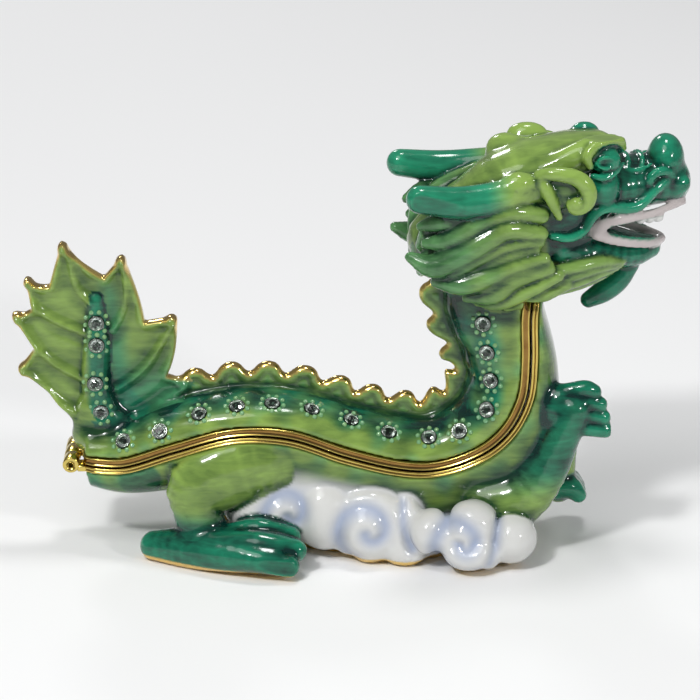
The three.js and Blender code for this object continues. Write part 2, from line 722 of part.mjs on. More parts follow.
const GOLD = 0xc79a3a;
const LID_GREEN = 0x6d9a3a;
const BASE_GREEN = 0x3f7a4a;
const CLEAR = 0xdfe8df;
const group = new THREE.Group();
const sides = { right: stonePlaces(-1), left: stonePlaces(1) };

group.add(meshOf("lid", lidCasting([...sides.right, ...sides.left]), LID_GREEN, 0.25, 0.0));
group.add(meshOf("base", baseCasting(), BASE_GREEN, 0.25, 0.0));
group.add(meshOf("lid_rim", lidRim(), GOLD, 0.25, 1.0));
group.add(meshOf("base_rim", baseRim(), GOLD, 0.25, 1.0));
const pin = barAlongY(HINGE_X, HINGE_Z, PIN_RADIUS, -BARREL_LENGTH / 2, BARREL_LENGTH / 2);
group.add(meshOf("hinge_pin", pin, GOLD, 0.3, 1.0));

for (const [side, places] of Object.entries(sides)) {
  places.forEach((place, i) => {
    const number = String(i + 1).padStart(2, "0");
    group.add(meshOf(`stone_${side}_${number}`, stone(place), CLEAR, 0.05, 0.0));
  });
}

export default group;
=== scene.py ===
# Dressed model of a jewelled trinket box: a green enamelled dragon on clouds, with gold rims and crystals.
# Forms are worked out in millimetres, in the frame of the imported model, and go to Blender in metres.
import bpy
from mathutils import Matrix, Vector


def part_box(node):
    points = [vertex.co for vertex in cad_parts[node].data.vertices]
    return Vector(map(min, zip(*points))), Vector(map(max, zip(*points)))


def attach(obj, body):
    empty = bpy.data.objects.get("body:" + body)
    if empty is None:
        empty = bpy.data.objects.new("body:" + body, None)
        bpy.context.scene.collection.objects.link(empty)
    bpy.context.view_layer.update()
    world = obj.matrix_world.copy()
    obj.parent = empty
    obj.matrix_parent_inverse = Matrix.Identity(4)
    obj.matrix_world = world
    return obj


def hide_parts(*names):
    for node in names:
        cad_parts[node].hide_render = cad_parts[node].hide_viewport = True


bl_info = {
    "name": "Jewelled dragon box",
    "version": (1, 0, 0),
    "blender": (4, 5, 0),
    "location": "View3D > Sidebar > Dragon box",
    "description": "Enamel castings, gold rims, hinge and crystals of a dragon-shaped trinket box",
    "category": "Object",
}

import math
from collections import namedtuple

import bmesh
import bpy
import numpy as np
import openvdb
from mathutils import Matrix, Vector

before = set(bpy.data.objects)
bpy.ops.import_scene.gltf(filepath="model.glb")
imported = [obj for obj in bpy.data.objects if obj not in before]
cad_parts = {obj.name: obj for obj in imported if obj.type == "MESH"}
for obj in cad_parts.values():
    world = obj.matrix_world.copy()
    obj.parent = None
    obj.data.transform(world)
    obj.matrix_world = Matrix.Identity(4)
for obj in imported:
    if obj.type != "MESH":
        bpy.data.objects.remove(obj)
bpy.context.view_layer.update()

MM = 0.001
VOXEL = 0.4
BAND = 3.0  # how far from a surface its distance is still worked out
CHUNK = 20000  # points that are set against a line at a time
FORM_MARGIN = 1.6  # how far round a form its distance matters
FINE_ROUNDS = 6  # rounds of smoothing that show small hollows
WIDE_ROUNDS = 60  # rounds of smoothing that show broad hollows

# Walls, clearances and rims, as in the part's source
WALL = 1.6
THROAT_WALL = 0.9
SEAM_GAP = 0.35
SOLDER_GAP = 0.05
LID_RIM_HEIGHT = 1.35
BASE_RIM_HEIGHT = 1.0
RIM_PROUD = 0.4
LEG_REACH = 6.0
THROAT_CLEARANCE = 1.0
THROAT_ROOM_FIRST = 0.8
LID_FLOOR = SEAM_GAP / 2 + LID_RIM_HEIGHT + SOLDER_GAP
BASE_ROOF = -(SEAM_GAP / 2 + BASE_RIM_HEIGHT + SOLDER_GAP)
ARCH_FULLNESS = 0.86

# Hinge at the tail
HINGE_X = -47.5
HINGE_Z = 15.3
BARREL_RADIUS = 1.38
BARREL_LENGTH = 10.5
LID_KNUCKLE_LENGTH = 3.4
KNUCKLE_GAP = 0.25
PIN_RADIUS = 0.55
PIN_CLEARANCE = 0.1

# The seam: x, z, half the body's width, height of the back, depth of the belly
SEAM = np.array([
    (-45.1, 15.3, 5.5, 4.6, 4.8), (-38.5, 15.7, 7.0, 5.6, 6.8), (-30.2, 18.9, 8.6, 6.4, 9.6),
    (-20.2, 22.0, 9.6, 5.8, 12.8), (-10.9, 21.8, 9.8, 5.7, 15.0), (-1.5, 18.5, 9.5, 6.2, 14.0),
    (7.5, 16.2, 9.2, 6.6, 12.5), (14.3, 16.1, 9.0, 7.0, 12.6), (21.0, 18.7, 9.0, 8.2, 15.5),
    (25.6, 22.9, 9.0, 9.2, 11.5), (28.3, 28.5, 8.4, 9.9, 6.2), (28.9, 34.6, 7.6, 11.4, 4.4),
    (28.8, 41.5, 6.8, 14.0, 2.6), (29.1, 45.0, 6.3, 14.6, 2.0),
])
SEAM_SAMPLES = 420
SEAM_STRIDE = 2  # every second sample is searched
TIGHTEST_TURN = 0.3

# Head frame: it sits on the neck, turned a little away from the box's near side
HEAD_X = 24.0
HEAD_Z = 46.0
HEAD_YAW = math.radians(8)


def catmull_rom(points, steps):
    """Even steps of the curve's parameter along a smooth line, as the part's source draws it."""
    points = np.atleast_2d(np.array(points, float))
    if len(points) == 1:
        return points
    padded = np.vstack([2 * points[0] - points[1], points, 2 * points[-1] - points[-2]])
    place = np.linspace(0, len(points) - 1, steps + 1)
    first = np.minimum(place.astype(int), len(points) - 2)
    w = (place - first)[:, None]
    p0, p1, p2, p3 = (padded[first + i] for i in range(4))
    t0 = 0.5 * (p2 - p0)
    t1 = 0.5 * (p3 - p1)
    return (2 * p1 - 2 * p2 + t0 + t1) * w**3 + (-3 * p1 + 3 * p2 - 2 * t0 - t1) * w**2 + t0 * w + p1


seam_line = catmull_rom(SEAM, SEAM_SAMPLES)
seam_ahead = np.gradient(seam_line[:, :2], axis=0)
seam_ahead /= np.linalg.norm(seam_ahead, axis=1)[:, None]
seam_up = np.stack([-seam_ahead[:, 1], seam_ahead[:, 0]], axis=1)
seam_run = np.concatenate([[0], np.cumsum(np.linalg.norm(np.diff(seam_line[:, :2], axis=0), axis=1))])
SEAM_LENGTH = seam_run[-1]
seam_heading = np.unwrap(np.arctan2(seam_ahead[:, 1], seam_ahead[:, 0]))
seam_turn = np.gradient(seam_heading) / np.gradient(seam_run)

SeamPlace = namedtuple("SeamPlace", "run height over half rise depth")
HALF, RISE, DEPTH = 2, 3, 4  # columns of the seam's table


def nearest_on(points, line):
    """For points in the XZ plane: the index of the nearest point of a line, and how far away it is."""
    nearest = np.empty(len(points), int)
    gap = np.empty(len(points))
    for start in range(0, len(points), CHUNK):
        part = points[start:start + CHUNK]
        gaps = ((part[:, None, :] - line[None]) ** 2).sum(axis=2)
        nearest[start:start + CHUNK] = gaps.argmin(axis=1)
        gap[start:start + CHUNK] = gaps.min(axis=1)
    return nearest, np.sqrt(gap)


def seam_place(x, z):
    """Where points lie by the seam: run along it, height over it, reach past its ends, its sizes there."""
    x, z = np.broadcast_arrays(x, z)
    flat = np.stack([x.ravel(), z.ravel()], axis=1).astype(np.float32)
    searched = seam_line[::SEAM_STRIDE, :2].astype(np.float32)
    nearest = nearest_on(flat, searched)[0] * SEAM_STRIDE
    away = flat - seam_line[nearest, :2]
    along = (away * seam_ahead[nearest]).sum(axis=1)
    height = (away * seam_up[nearest]).sum(axis=1)
    over = np.where(nearest == 0, -along, np.where(nearest == SEAM_SAMPLES, along, -BAND))
    stretch = np.where(over > 0, 1, np.maximum(1 - seam_turn[nearest] * height, TIGHTEST_TURN))
    run = seam_run[nearest] + along / stretch
    sizes = [seam_size(np.clip(run, 0, SEAM_LENGTH), column) for column in (HALF, RISE, DEPTH)]
    return SeamPlace(*(column.reshape(x.shape) for column in (run, height, over, *sizes)))


def on_seam(run, y, height):
    """Points at a run along the seam, across it and over it; a run past an end goes straight on."""
    run = np.asarray(run, float)
    inside = np.clip(run, 0, SEAM_LENGTH)
    index = np.interp(inside, seam_run, np.arange(SEAM_SAMPLES + 1))
    columns = np.arange(SEAM_SAMPLES + 1)
    pick = lambda values: np.interp(index, columns, values)
    ahead = np.stack([pick(seam_ahead[:, 0]), pick(seam_ahead[:, 1])], axis=-1)
    x = pick(seam_line[:, 0]) + ahead[..., 0] * (run - inside) - ahead[..., 1] * height
    z = pick(seam_line[:, 1]) + ahead[..., 1] * (run - inside) + ahead[..., 0] * height
    return np.stack([x, np.broadcast_to(y, x.shape), z], axis=-1)


def seam_size(run, column):
    return np.interp(run, seam_run, seam_line[:, column])


# Distance forms

Form = namedtuple("Form", "distance low high")


def blend_min(a, b, soft):
    if soft <= 0:
        return np.minimum(a, b)
    near = np.maximum(soft - np.abs(a - b), 0) / soft
    return np.minimum(a, b) - near * near * soft * 0.25


def blend_max(a, b, soft):
    return -blend_min(-a, -b, soft)


def smooth_step(low, high, value):
    share = np.clip((value - low) / (high - low), 0, 1)
    return share * share * (3 - 2 * share)


def ellipsoid_distance(across, up, ahead, width, height, length):
    scaled = np.sqrt((across / width) ** 2 + (up / height) ** 2 + (ahead / length) ** 2)
    slope = np.sqrt((across / width**2) ** 2 + (up / height**2) ** 2 + (ahead / length**2) ** 2)
    return scaled * (scaled - 1) / np.maximum(slope, 1e-4)


def limb(points, radii, side=(0, 1, 0), steps=12):
    """A rounded limb along a smooth line: radii are one number, or (across, up), at each point."""
    steps = min(steps, 4 * (len(points) - 1))
    spine = catmull_rom(points, steps)
    girth = catmull_rom([r if isinstance(r, (tuple, list)) else (r, r) for r in radii], steps)
    parts = []
    for a, b, size_a, size_b in zip(spine, spine[1:], girth, girth[1:]):
        ahead = b - a
        length = np.linalg.norm(ahead)
        ahead = ahead / length
        across = np.array(side, float) - ahead * np.dot(side, ahead)
        across /= np.linalg.norm(across)
        parts.append((a, ahead, length, across, np.cross(ahead, across), size_a, size_b))

    def distance(x, y, z):
        best = None
        for a, ahead, length, across, up, size_a, size_b in parts:
            dx, dy, dz = x - a[0], y - a[1], z - a[2]
            along = dx * ahead[0] + dy * ahead[1] + dz * ahead[2]
            share = np.clip(along / length, 0, 1)
            beyond = along - share * length
            sideways = dx * across[0] + dy * across[1] + dz * across[2]
            upward = dx * up[0] + dy * up[1] + dz * up[2]
            width = size_a[0] + (size_b[0] - size_a[0]) * share
            height = size_a[1] + (size_b[1] - size_a[1]) * share
            near = ellipsoid_distance(sideways, upward, beyond, width, height, np.minimum(width, height))
            best = near if best is None else np.minimum(best, near)
        return best

    reach = girth.max() + FORM_MARGIN
    return Form(distance, spine.min(axis=0) - reach, spine.max(axis=0) + reach)


def lump(center, halves):
    """A rounded lump with its three half sizes."""
    center, halves = np.array(center, float), np.array(halves, float)

    def distance(x, y, z):
        return ellipsoid_distance(x - center[0], y - center[1], z - center[2], *halves)

    return Form(distance, center - halves - FORM_MARGIN, center + halves + FORM_MARGIN)


def on_head(points):
    points = np.atleast_2d(np.array(points, float))
    c, s = math.cos(HEAD_YAW), math.sin(HEAD_YAW)
    x = HEAD_X + points[:, 0] * c - points[:, 1] * s
    y = points[:, 0] * s + points[:, 1] * c
    return np.stack([x, y, HEAD_Z + points[:, 2]], axis=1)


def mirror_y(points):
    return [(x, -y, z) for x, y, z in points]


def head_limb(points, radii, steps=12):
    return limb(on_head(points), radii, steps=steps)


def head_lump(center, halves):
    return lump(on_head([center])[0], halves)


def head_pair(points, radii, steps=12):
    return [head_limb(points, radii, steps), head_limb(mirror_y(points), radii, steps)]


def lump_pair(center, halves):
    return [head_lump(center, halves), head_lump((center[0], -center[1], center[2]), halves)]


def outline_distance(x, z, outline):
    """Signed distance to a closed outline in the XZ plane, less than 0 inside it."""
    x, z = np.broadcast_arrays(x, z)
    best = np.full(x.shape, np.inf)
    inside = np.zeros(x.shape, bool)
    for (ax, az), (bx, bz) in zip(outline, np.roll(outline, -1, axis=0)):
        ex, ez = bx - ax, bz - az
        wx, wz = x - ax, z - az
        share = np.clip((wx * ex + wz * ez) / (ex * ex + ez * ez + 1e-12), 0, 1)
        best = np.minimum(best, (wx - ex * share) ** 2 + (wz - ez * share) ** 2)
        if az != bz:
            inside ^= ((az > z) != (bz > z)) & (x < ex * wz / ez + ax)
    return np.where(inside, -1, 1) * np.sqrt(best)


def line_distance(x, z, points, steps=10):
    """Distance to an open smooth line in the XZ plane."""
    line = catmull_rom(points, steps)
    best = np.full(np.broadcast(x, z).shape, np.inf)
    for (ax, az), (bx, bz) in zip(line, line[1:]):
        ex, ez = bx - ax, bz - az
        wx, wz = x - ax, z - az
        share = np.clip((wx * ex + wz * ez) / (ex * ex + ez * ez), 0, 1)
        best = np.minimum(best, (wx - ex * share) ** 2 + (wz - ez * share) ** 2)
    return np.sqrt(best)


# Tail leaf

LEAF_HALF = 1.1
LEAF_TIP_RADIUS = 0.7
LEAF_HEART_DROP = 6.0  # the lobes point away from a place this far below the stalk's fourth point
LEAF_BULGE = 1.0
LEAF_FOOT_FRONT = (-35.2, 21.6)
LEAF_FOOT_BACK = (-46.6, 20.6)
LEAF_LOBES = [
    ((-27.4, 28.4), (-31.3, 29.6)), ((-29.6, 39.9), (-34.9, 39.0)), ((-38.4, 50.6), (-41.5, 46.9)),
    ((-48.4, 53.0), (-50.6, 45.4)), ((-54.6, 46.7), (-53.6, 41.3)), ((-56.9, 40.5), (-53.4, 34.4)),
    ((-56.3, 30.9), (-51.4, 26.6)),
]
STALK = [(-38.9, 0, 19.4), (-42.2, 0, 23.2), (-43.3, 0, 29.0), (-42.9, 0, 35.7), (-42.9, 0, 43.0)]
STALK_RADII = [3.4, 3.0, 2.5, 2.2, 1.2]
LEAF_CREASES = [
    [(-48.0, 51.6), (-47.1, 50.0), (-46.7, 47.6), (-45.7, 44.5), (-43.9, 42.4)],
    [(-54.5, 43.3), (-52.6, 41.2), (-49.2, 39.0), (-45.0, 37.1)],
    [(-56.0, 39.2), (-53.9, 35.6), (-50.1, 31.7), (-45.7, 29.1)],
    [(-55.6, 30.2), (-53.0, 26.9), (-50.1, 24.9), (-46.9, 23.2)],
    [(-38.3, 49.4), (-37.9, 46.0), (-38.0, 42.6), (-39.0, 39.7), (-40.2, 37.6)],
    [(-30.4, 38.6), (-33.4, 33.2), (-36.0, 30.0), (-39.6, 27.3)],
    [(-28.2, 28.0), (-30.9, 26.2), (-33.2, 24.3), (-36.0, 22.4)],
]


def leaf_outline():
    """The leaf's closed outline: a bulging edge up to each tip, then its blunt end and a notch."""
    points = [LEAF_FOOT_FRONT]
    for tip, notch in LEAF_LOBES:
        last = points[-1]
        lift = 1.2 if tip[0] > STALK[2][0] else -0.4
        bulge = ((last[0] + tip[0]) / 2 + lift, (last[1] + tip[1]) / 2 - LEAF_BULGE)
        for share in np.linspace(0.12, 0.92, 8):
            points.append(tuple(
                (1 - share) ** 2 * l + 2 * share * (1 - share) * b + share**2 * t
                for l, b, t in zip(last, bulge, tip)
            ))
        inner = points[-1]
        back = tuple(t + 0.16 * (n - t) for t, n in zip(tip, notch))
        for weights in ((0.25, 0.6, 0.15), (0.1, 0.6, 0.3)):
            points.append(tuple(np.dot(weights, ends) for ends in zip(inner, tip, back)))
        points += [back, notch]
    points.append(LEAF_FOOT_BACK)
    return np.array(points)


LEAF_OUTLINE = leaf_outline()


def leaf_tips():
    """Centres of the rounded tips, a little inside each lobe's end."""
    centers = []
    for (tip_x, tip_z), (notch_x, notch_z) in LEAF_LOBES:
        inward = np.array([STALK[3][0] - tip_x, STALK[3][2] - LEAF_HEART_DROP - tip_z])
        inward = 0.9 * inward / np.linalg.norm(inward)
        toward = np.array([notch_x - tip_x, notch_z - tip_z])
        centers.append(np.array([tip_x, tip_z]) + inward + 0.2 * toward / np.linalg.norm(toward))
    return centers


def leaf_edge(x, z):
    """Signed distance to the leaf's outline with its rounded tips, and distance to the nearest tip."""
    tip = np.minimum.reduce([np.hypot(x - cx, z - cz) for cx, cz in leaf_tips()])
    return blend_min(outline_distance(x, z, LEAF_OUTLINE), tip - LEAF_TIP_RADIUS, 0.9), tip


def bell(value, width):
    """1 at 0, falling off smoothly to both sides."""
    return np.exp(-((value / width) ** 2))


def plate_form(outline, thickness, soft, reach):
    """A flat plate in the XZ plane, as thick at each place as thickness says."""
    low, high = outline.min(axis=0) - 2, outline.max(axis=0) + 2

    def distance(x, y, z):
        edge, half = thickness(x, z)
        return blend_max(edge, np.abs(y) - half, soft)

    return Form(distance, np.array([low[0], -reach, low[1]]), np.array([high[0], reach, high[1]]))


def leaf_thickness(x, z):
    """Thin faces with raised creases, tips and rim."""
    edge, tip = leaf_edge(x, z)
    half = LEAF_HALF - 0.45 * smooth_step(0.5, 2.2, -edge) + 0.45 * bell(tip, 1.5)
    for crease in LEAF_CREASES:
        near = line_distance(x, z, crease)
        half = half + 0.6 * bell(near, 0.5) - 0.25 * bell(near - 1.6, 0.9)
    return edge, half + 0.4 * bell(edge + 0.5, 0.45)


# Crest along the ridge of the back

CREST_START = -29.0
CREST_PLATES = 12
CREST_HALF = 0.95
CREST_TIP = 4.1
CREST_VALLEY = 1.5
CREST_ROOT = 1.4


CREST_PROFILE = [
    (0, 0.24), (0.08, 0.32), (0.2, 0.64), (0.34, 0.92), (0.5, 1.0), (0.66, 0.98), (0.8, 0.74), (0.92, 0.34),
    (1, 0.24),
]


def ridge_places():
    """The crest's outline, with rounded teeth at an even pitch along the ridge, and its top line."""
    runs = np.linspace(0, SEAM_LENGTH, 400)
    rise = seam_size(runs, RISE)
    ridge = on_seam(runs, 0, rise)[:, [0, 2]]
    length = np.concatenate([[0], np.cumsum(np.linalg.norm(np.diff(ridge, axis=0), axis=1))])
    from_start = np.where(runs > SEAM_LENGTH / 2, np.inf, np.abs(ridge[:, 0] - CREST_START))
    start = length[from_start.argmin()]
    shares = np.linspace(0, 1, CREST_PLATES * 10 + 1)
    run = np.interp(start + (length[-1] - start) * shares, length, runs)
    phase = (shares * CREST_PLATES) % 1.0
    profile = np.interp(phase, *zip(*CREST_PROFILE))
    height = CREST_VALLEY + (CREST_TIP - CREST_VALLEY) * profile
    top = on_seam(run, 0, seam_size(run, RISE) + height)[:, [0, 2]]
    foot = on_seam(run, 0, seam_size(run, RISE) - CREST_ROOT)[:, [0, 2]]
    return np.vstack([top, foot[::-6]]), top


CREST_OUTLINE, CREST_TOP = ridge_places()


def crest_thickness(x, z):
    """A groove runs below the crest's edge, and its foot widens into the back."""
    edge = outline_distance(x, z, CREST_OUTLINE)
    return edge, CREST_HALF + 0.35 - 0.2 * bell(edge + 1.7, 0.5) + 0.5 * smooth_step(2.0, 4.0, -edge)


# Head: lines and sizes of the side towards the photo, in the head's own frame; the other side mirrors them

LOCKS = [
    ([(4.8, -9.4, 14.1), (0.2, -10.0, 15.1), (-5.0, -10.1, 13.9), (-7.5, -9.8, 12.3), (-11.0, -9.0, 10.4),
      (-13.8, -8.0, 9.8)], [1.3, 1.8, 2.0, 1.9, 1.6, 0.9]),
    ([(4.7, -10.1, 11.3), (-1.1, -10.7, 12.5), (-4.8, -10.7, 10.7), (-8.6, -10.1, 8.3), (-12.8, -9.2, 6.3),
      (-16.4, -8.0, 7.6)], [1.2, 1.9, 2.1, 2.1, 2.0, 0.9]),
    ([(4.4, -10.2, 10.0), (-1.0, -10.5, 9.9), (-5.4, -10.1, 8.0), (-9.6, -9.4, 5.6), (-13.2, -8.4, 4.8)],
     [1.0, 1.4, 1.7, 1.6, 0.8]),
    ([(3.8, -10.1, 8.8), (-0.9, -10.2, 7.9), (-5.2, -9.6, 5.8), (-8.4, -8.8, 4.9)], [0.9, 1.4, 1.5, 0.8]),
    ([(5.3, -10.3, 7.2), (0.2, -10.4, 6.3), (-4.1, -10.2, 4.5), (-8.4, -9.6, 3.1), (-12.2, -8.2, 3.2)],
     [1.0, 1.5, 1.8, 1.8, 0.9]),
    ([(6.0, -10.1, 6.0), (0.2, -10.2, 4.9), (-3.6, -9.7, 2.8), (-8.2, -8.7, 1.7)], [0.9, 1.3, 1.4, 0.8]),
    ([(6.2, -10.1, 5.2), (0.3, -10.0, 3.5), (-2.8, -9.5, 1.1), (-7.1, -8.0, 0.2)], [1.0, 1.5, 1.6, 0.8]),
    ([(7.7, -9.6, 3.9), (2.6, -9.5, 1.6), (-1.7, -8.8, -0.5), (-5.4, -7.6, -0.7)], [1.1, 1.5, 1.4, 0.7]),
    ([(9.4, -8.4, 1.9), (4.4, -8.4, 0.0), (-0.2, -7.4, -1.7)], [1.1, 1.5, 1.0]),
    ([(-7.0, -9.2, 14.6), (-11.6, -8.6, 13.6), (-14.6, -7.6, 12.6)], [1.4, 1.6, 0.8]),
    ([(-3.0, -6.4, 17.2), (-8.6, -6.4, 14.2), (-12.2, -5.6, 11.2), (-14.0, -4.6, 8.4)], [1.6, 2.1, 2.0, 1.0]),
    ([(-5.0, -2.2, 15.2), (-9.8, -2.2, 12.0), (-13.0, -2.0, 8.6), (-14.2, -1.4, 5.8)], [1.8, 2.0, 1.8, 1.0]),
    ([(-9.0, -5.0, 8.0), (-12.4, -4.8, 6.0), (-13.8, -3.4, 3.6)], [2.2, 2.1, 0.9]),
]
EAR_RIM = [
    (4.4, -9.9, 21.3), (6.4, -10.8, 21.5), (9.0, -11.3, 21.2), (11.0, -11.6, 20.2), (12.0, -11.7, 18.5),
    (11.9, -11.7, 16.8), (10.9, -11.6, 15.7), (9.7, -11.5, 15.6), (9.2, -11.5, 16.4),
]
EAR_RIM_RADII = [0.9, 1.15, 1.3, 1.4, 1.4, 1.2, 1.0, 0.9, 0.8]
EAR_FOLD = [(4.4, -10.0, 21.0), (5.4, -10.6, 18.7), (6.5, -10.5, 16.3), (7.7, -9.9, 13.8)]
HORN = [(4.0, -7.6, 18.4), (-1.2, -9.2, 17.6), (-8.0, -10.3, 17.1), (-15.2, -10.4, 18.0)]
HORN_RADII = [2.6, 2.7, 2.7, 2.3]
LIP_RIDGE = [
    (27.6, -3.3, 18.0), (25.8, -4.4, 17.2), (23.9, -5.1, 15.8), (22.4, -5.6, 14.4), (20.2, -6.3, 13.8),
    (15.8, -7.3, 14.4), (13.4, -8.0, 13.0), (12.0, -8.5, 11.0), (9.6, -9.1, 10.0), (6.6, -9.5, 10.5),
]
UPPER_LIP = [
    (14.4, -7.4, 10.4), (16.2, -7.2, 11.7), (20.6, -6.2, 12.0), (25.2, -4.6, 12.5), (30.2, -1.8, 13.1),
]
LOWER_LIP = [(14.4, -7.4, 9.8), (17.0, -7.2, 8.9), (20.6, -6.2, 7.9), (24.4, -3.9, 6.9), (27.0, -0.6, 6.5)]
MOUTH = [(17.2, -7.4, 10.3), (20.2, -6.6, 9.95), (24.4, -5.0, 9.6), (28.0, -3.0, 9.4), (32.0, -1.0, 9.4)]
MOUTH_RADII = [(1.6, 0.5), (2.4, 1.05), (2.9, 1.65), (3.2, 2.0), (3.2, 2.1)]
FRINGE = [
    [(6.4, -9.1, 4.2), (11.4, -8.5, 4.9), (15.5, -7.3, 5.2), (19.4, -5.5, 4.2)],
    [(6.8, -8.7, 2.6), (11.5, -8.1, 3.5), (15.4, -6.9, 4.1), (19.2, -5.1, 3.5)],
    [(7.4, -8.0, 1.1), (11.6, -7.5, 2.1), (15.2, -6.5, 2.9), (18.6, -4.9, 2.9)],
    [(7.6, -6.8, 0.3), (11.6, -6.5, 1.1), (15.0, -5.6, 1.9), (18.0, -4.2, 2.2)],
]
BROW_RIDGES = [
    [(2.0, -6.2, 19.2), (10.0, -6.6, 22.8), (15.4, -5.8, 24.6), (17.8, -4.6, 24.0)],
    [(2.0, 6.2, 19.0), (10.0, 6.2, 21.2), (15.4, 5.4, 22.0), (17.8, 4.4, 21.8)],
]
NOSE_SIDE = [(20.0, -4.3, 19.6), (22.5, -4.3, 19.8), (24.1, -3.7, 20.4)]
FRINGE_RADII = [(1.1, 1.0), (1.2, 1.0), (1.1, 0.9), 0.4]
NOSTRIL = [
    (23.6, -5.0, 17.0), (23.8, -5.2, 18.5), (25.2, -4.9, 19.4), (26.8, -4.2, 19.0), (27.8, -3.7, 17.9),
]
BARBEL = [(21.6, -0.6, 2.2), (19.7, -0.6, -0.4), (17.4, -0.4, -2.4), (15.0, 0, -3.9)]
TEETH = [(22.2, -5.1, 0.85), (23.8, -4.6, 0.95), (25.4, -4.0, 1.0)]
BROW_RIM = [
    (12.8, -8.7, 21.8), (12.2, -8.8, 23.4), (13.3, -8.4, 24.9), (15.0, -7.8, 25.8), (16.8, -7.1, 25.9),
    (18.2, -6.2, 25.1), (18.9, -5.4, 23.8),
]
EYE = (15.6, -7.2, 22.4)
FAR_EYE = (15.0, 6.4, 23.0)
EYE_ALMOND = [
    [(13.7, -8.4, 22.1), (14.6, -8.9, 23.2), (15.8, -8.9, 23.3), (17.2, -8.3, 22.5)],
    [(13.7, -8.4, 22.1), (14.8, -9.0, 21.5), (16.0, -9.0, 21.6), (17.2, -8.3, 22.5)],
]
UNDER_EYE = [(13.4, -8.4, 20.2), (15.0, -8.6, 19.8), (17.0, -8.0, 20.4), (18.6, -6.8, 21.6)]


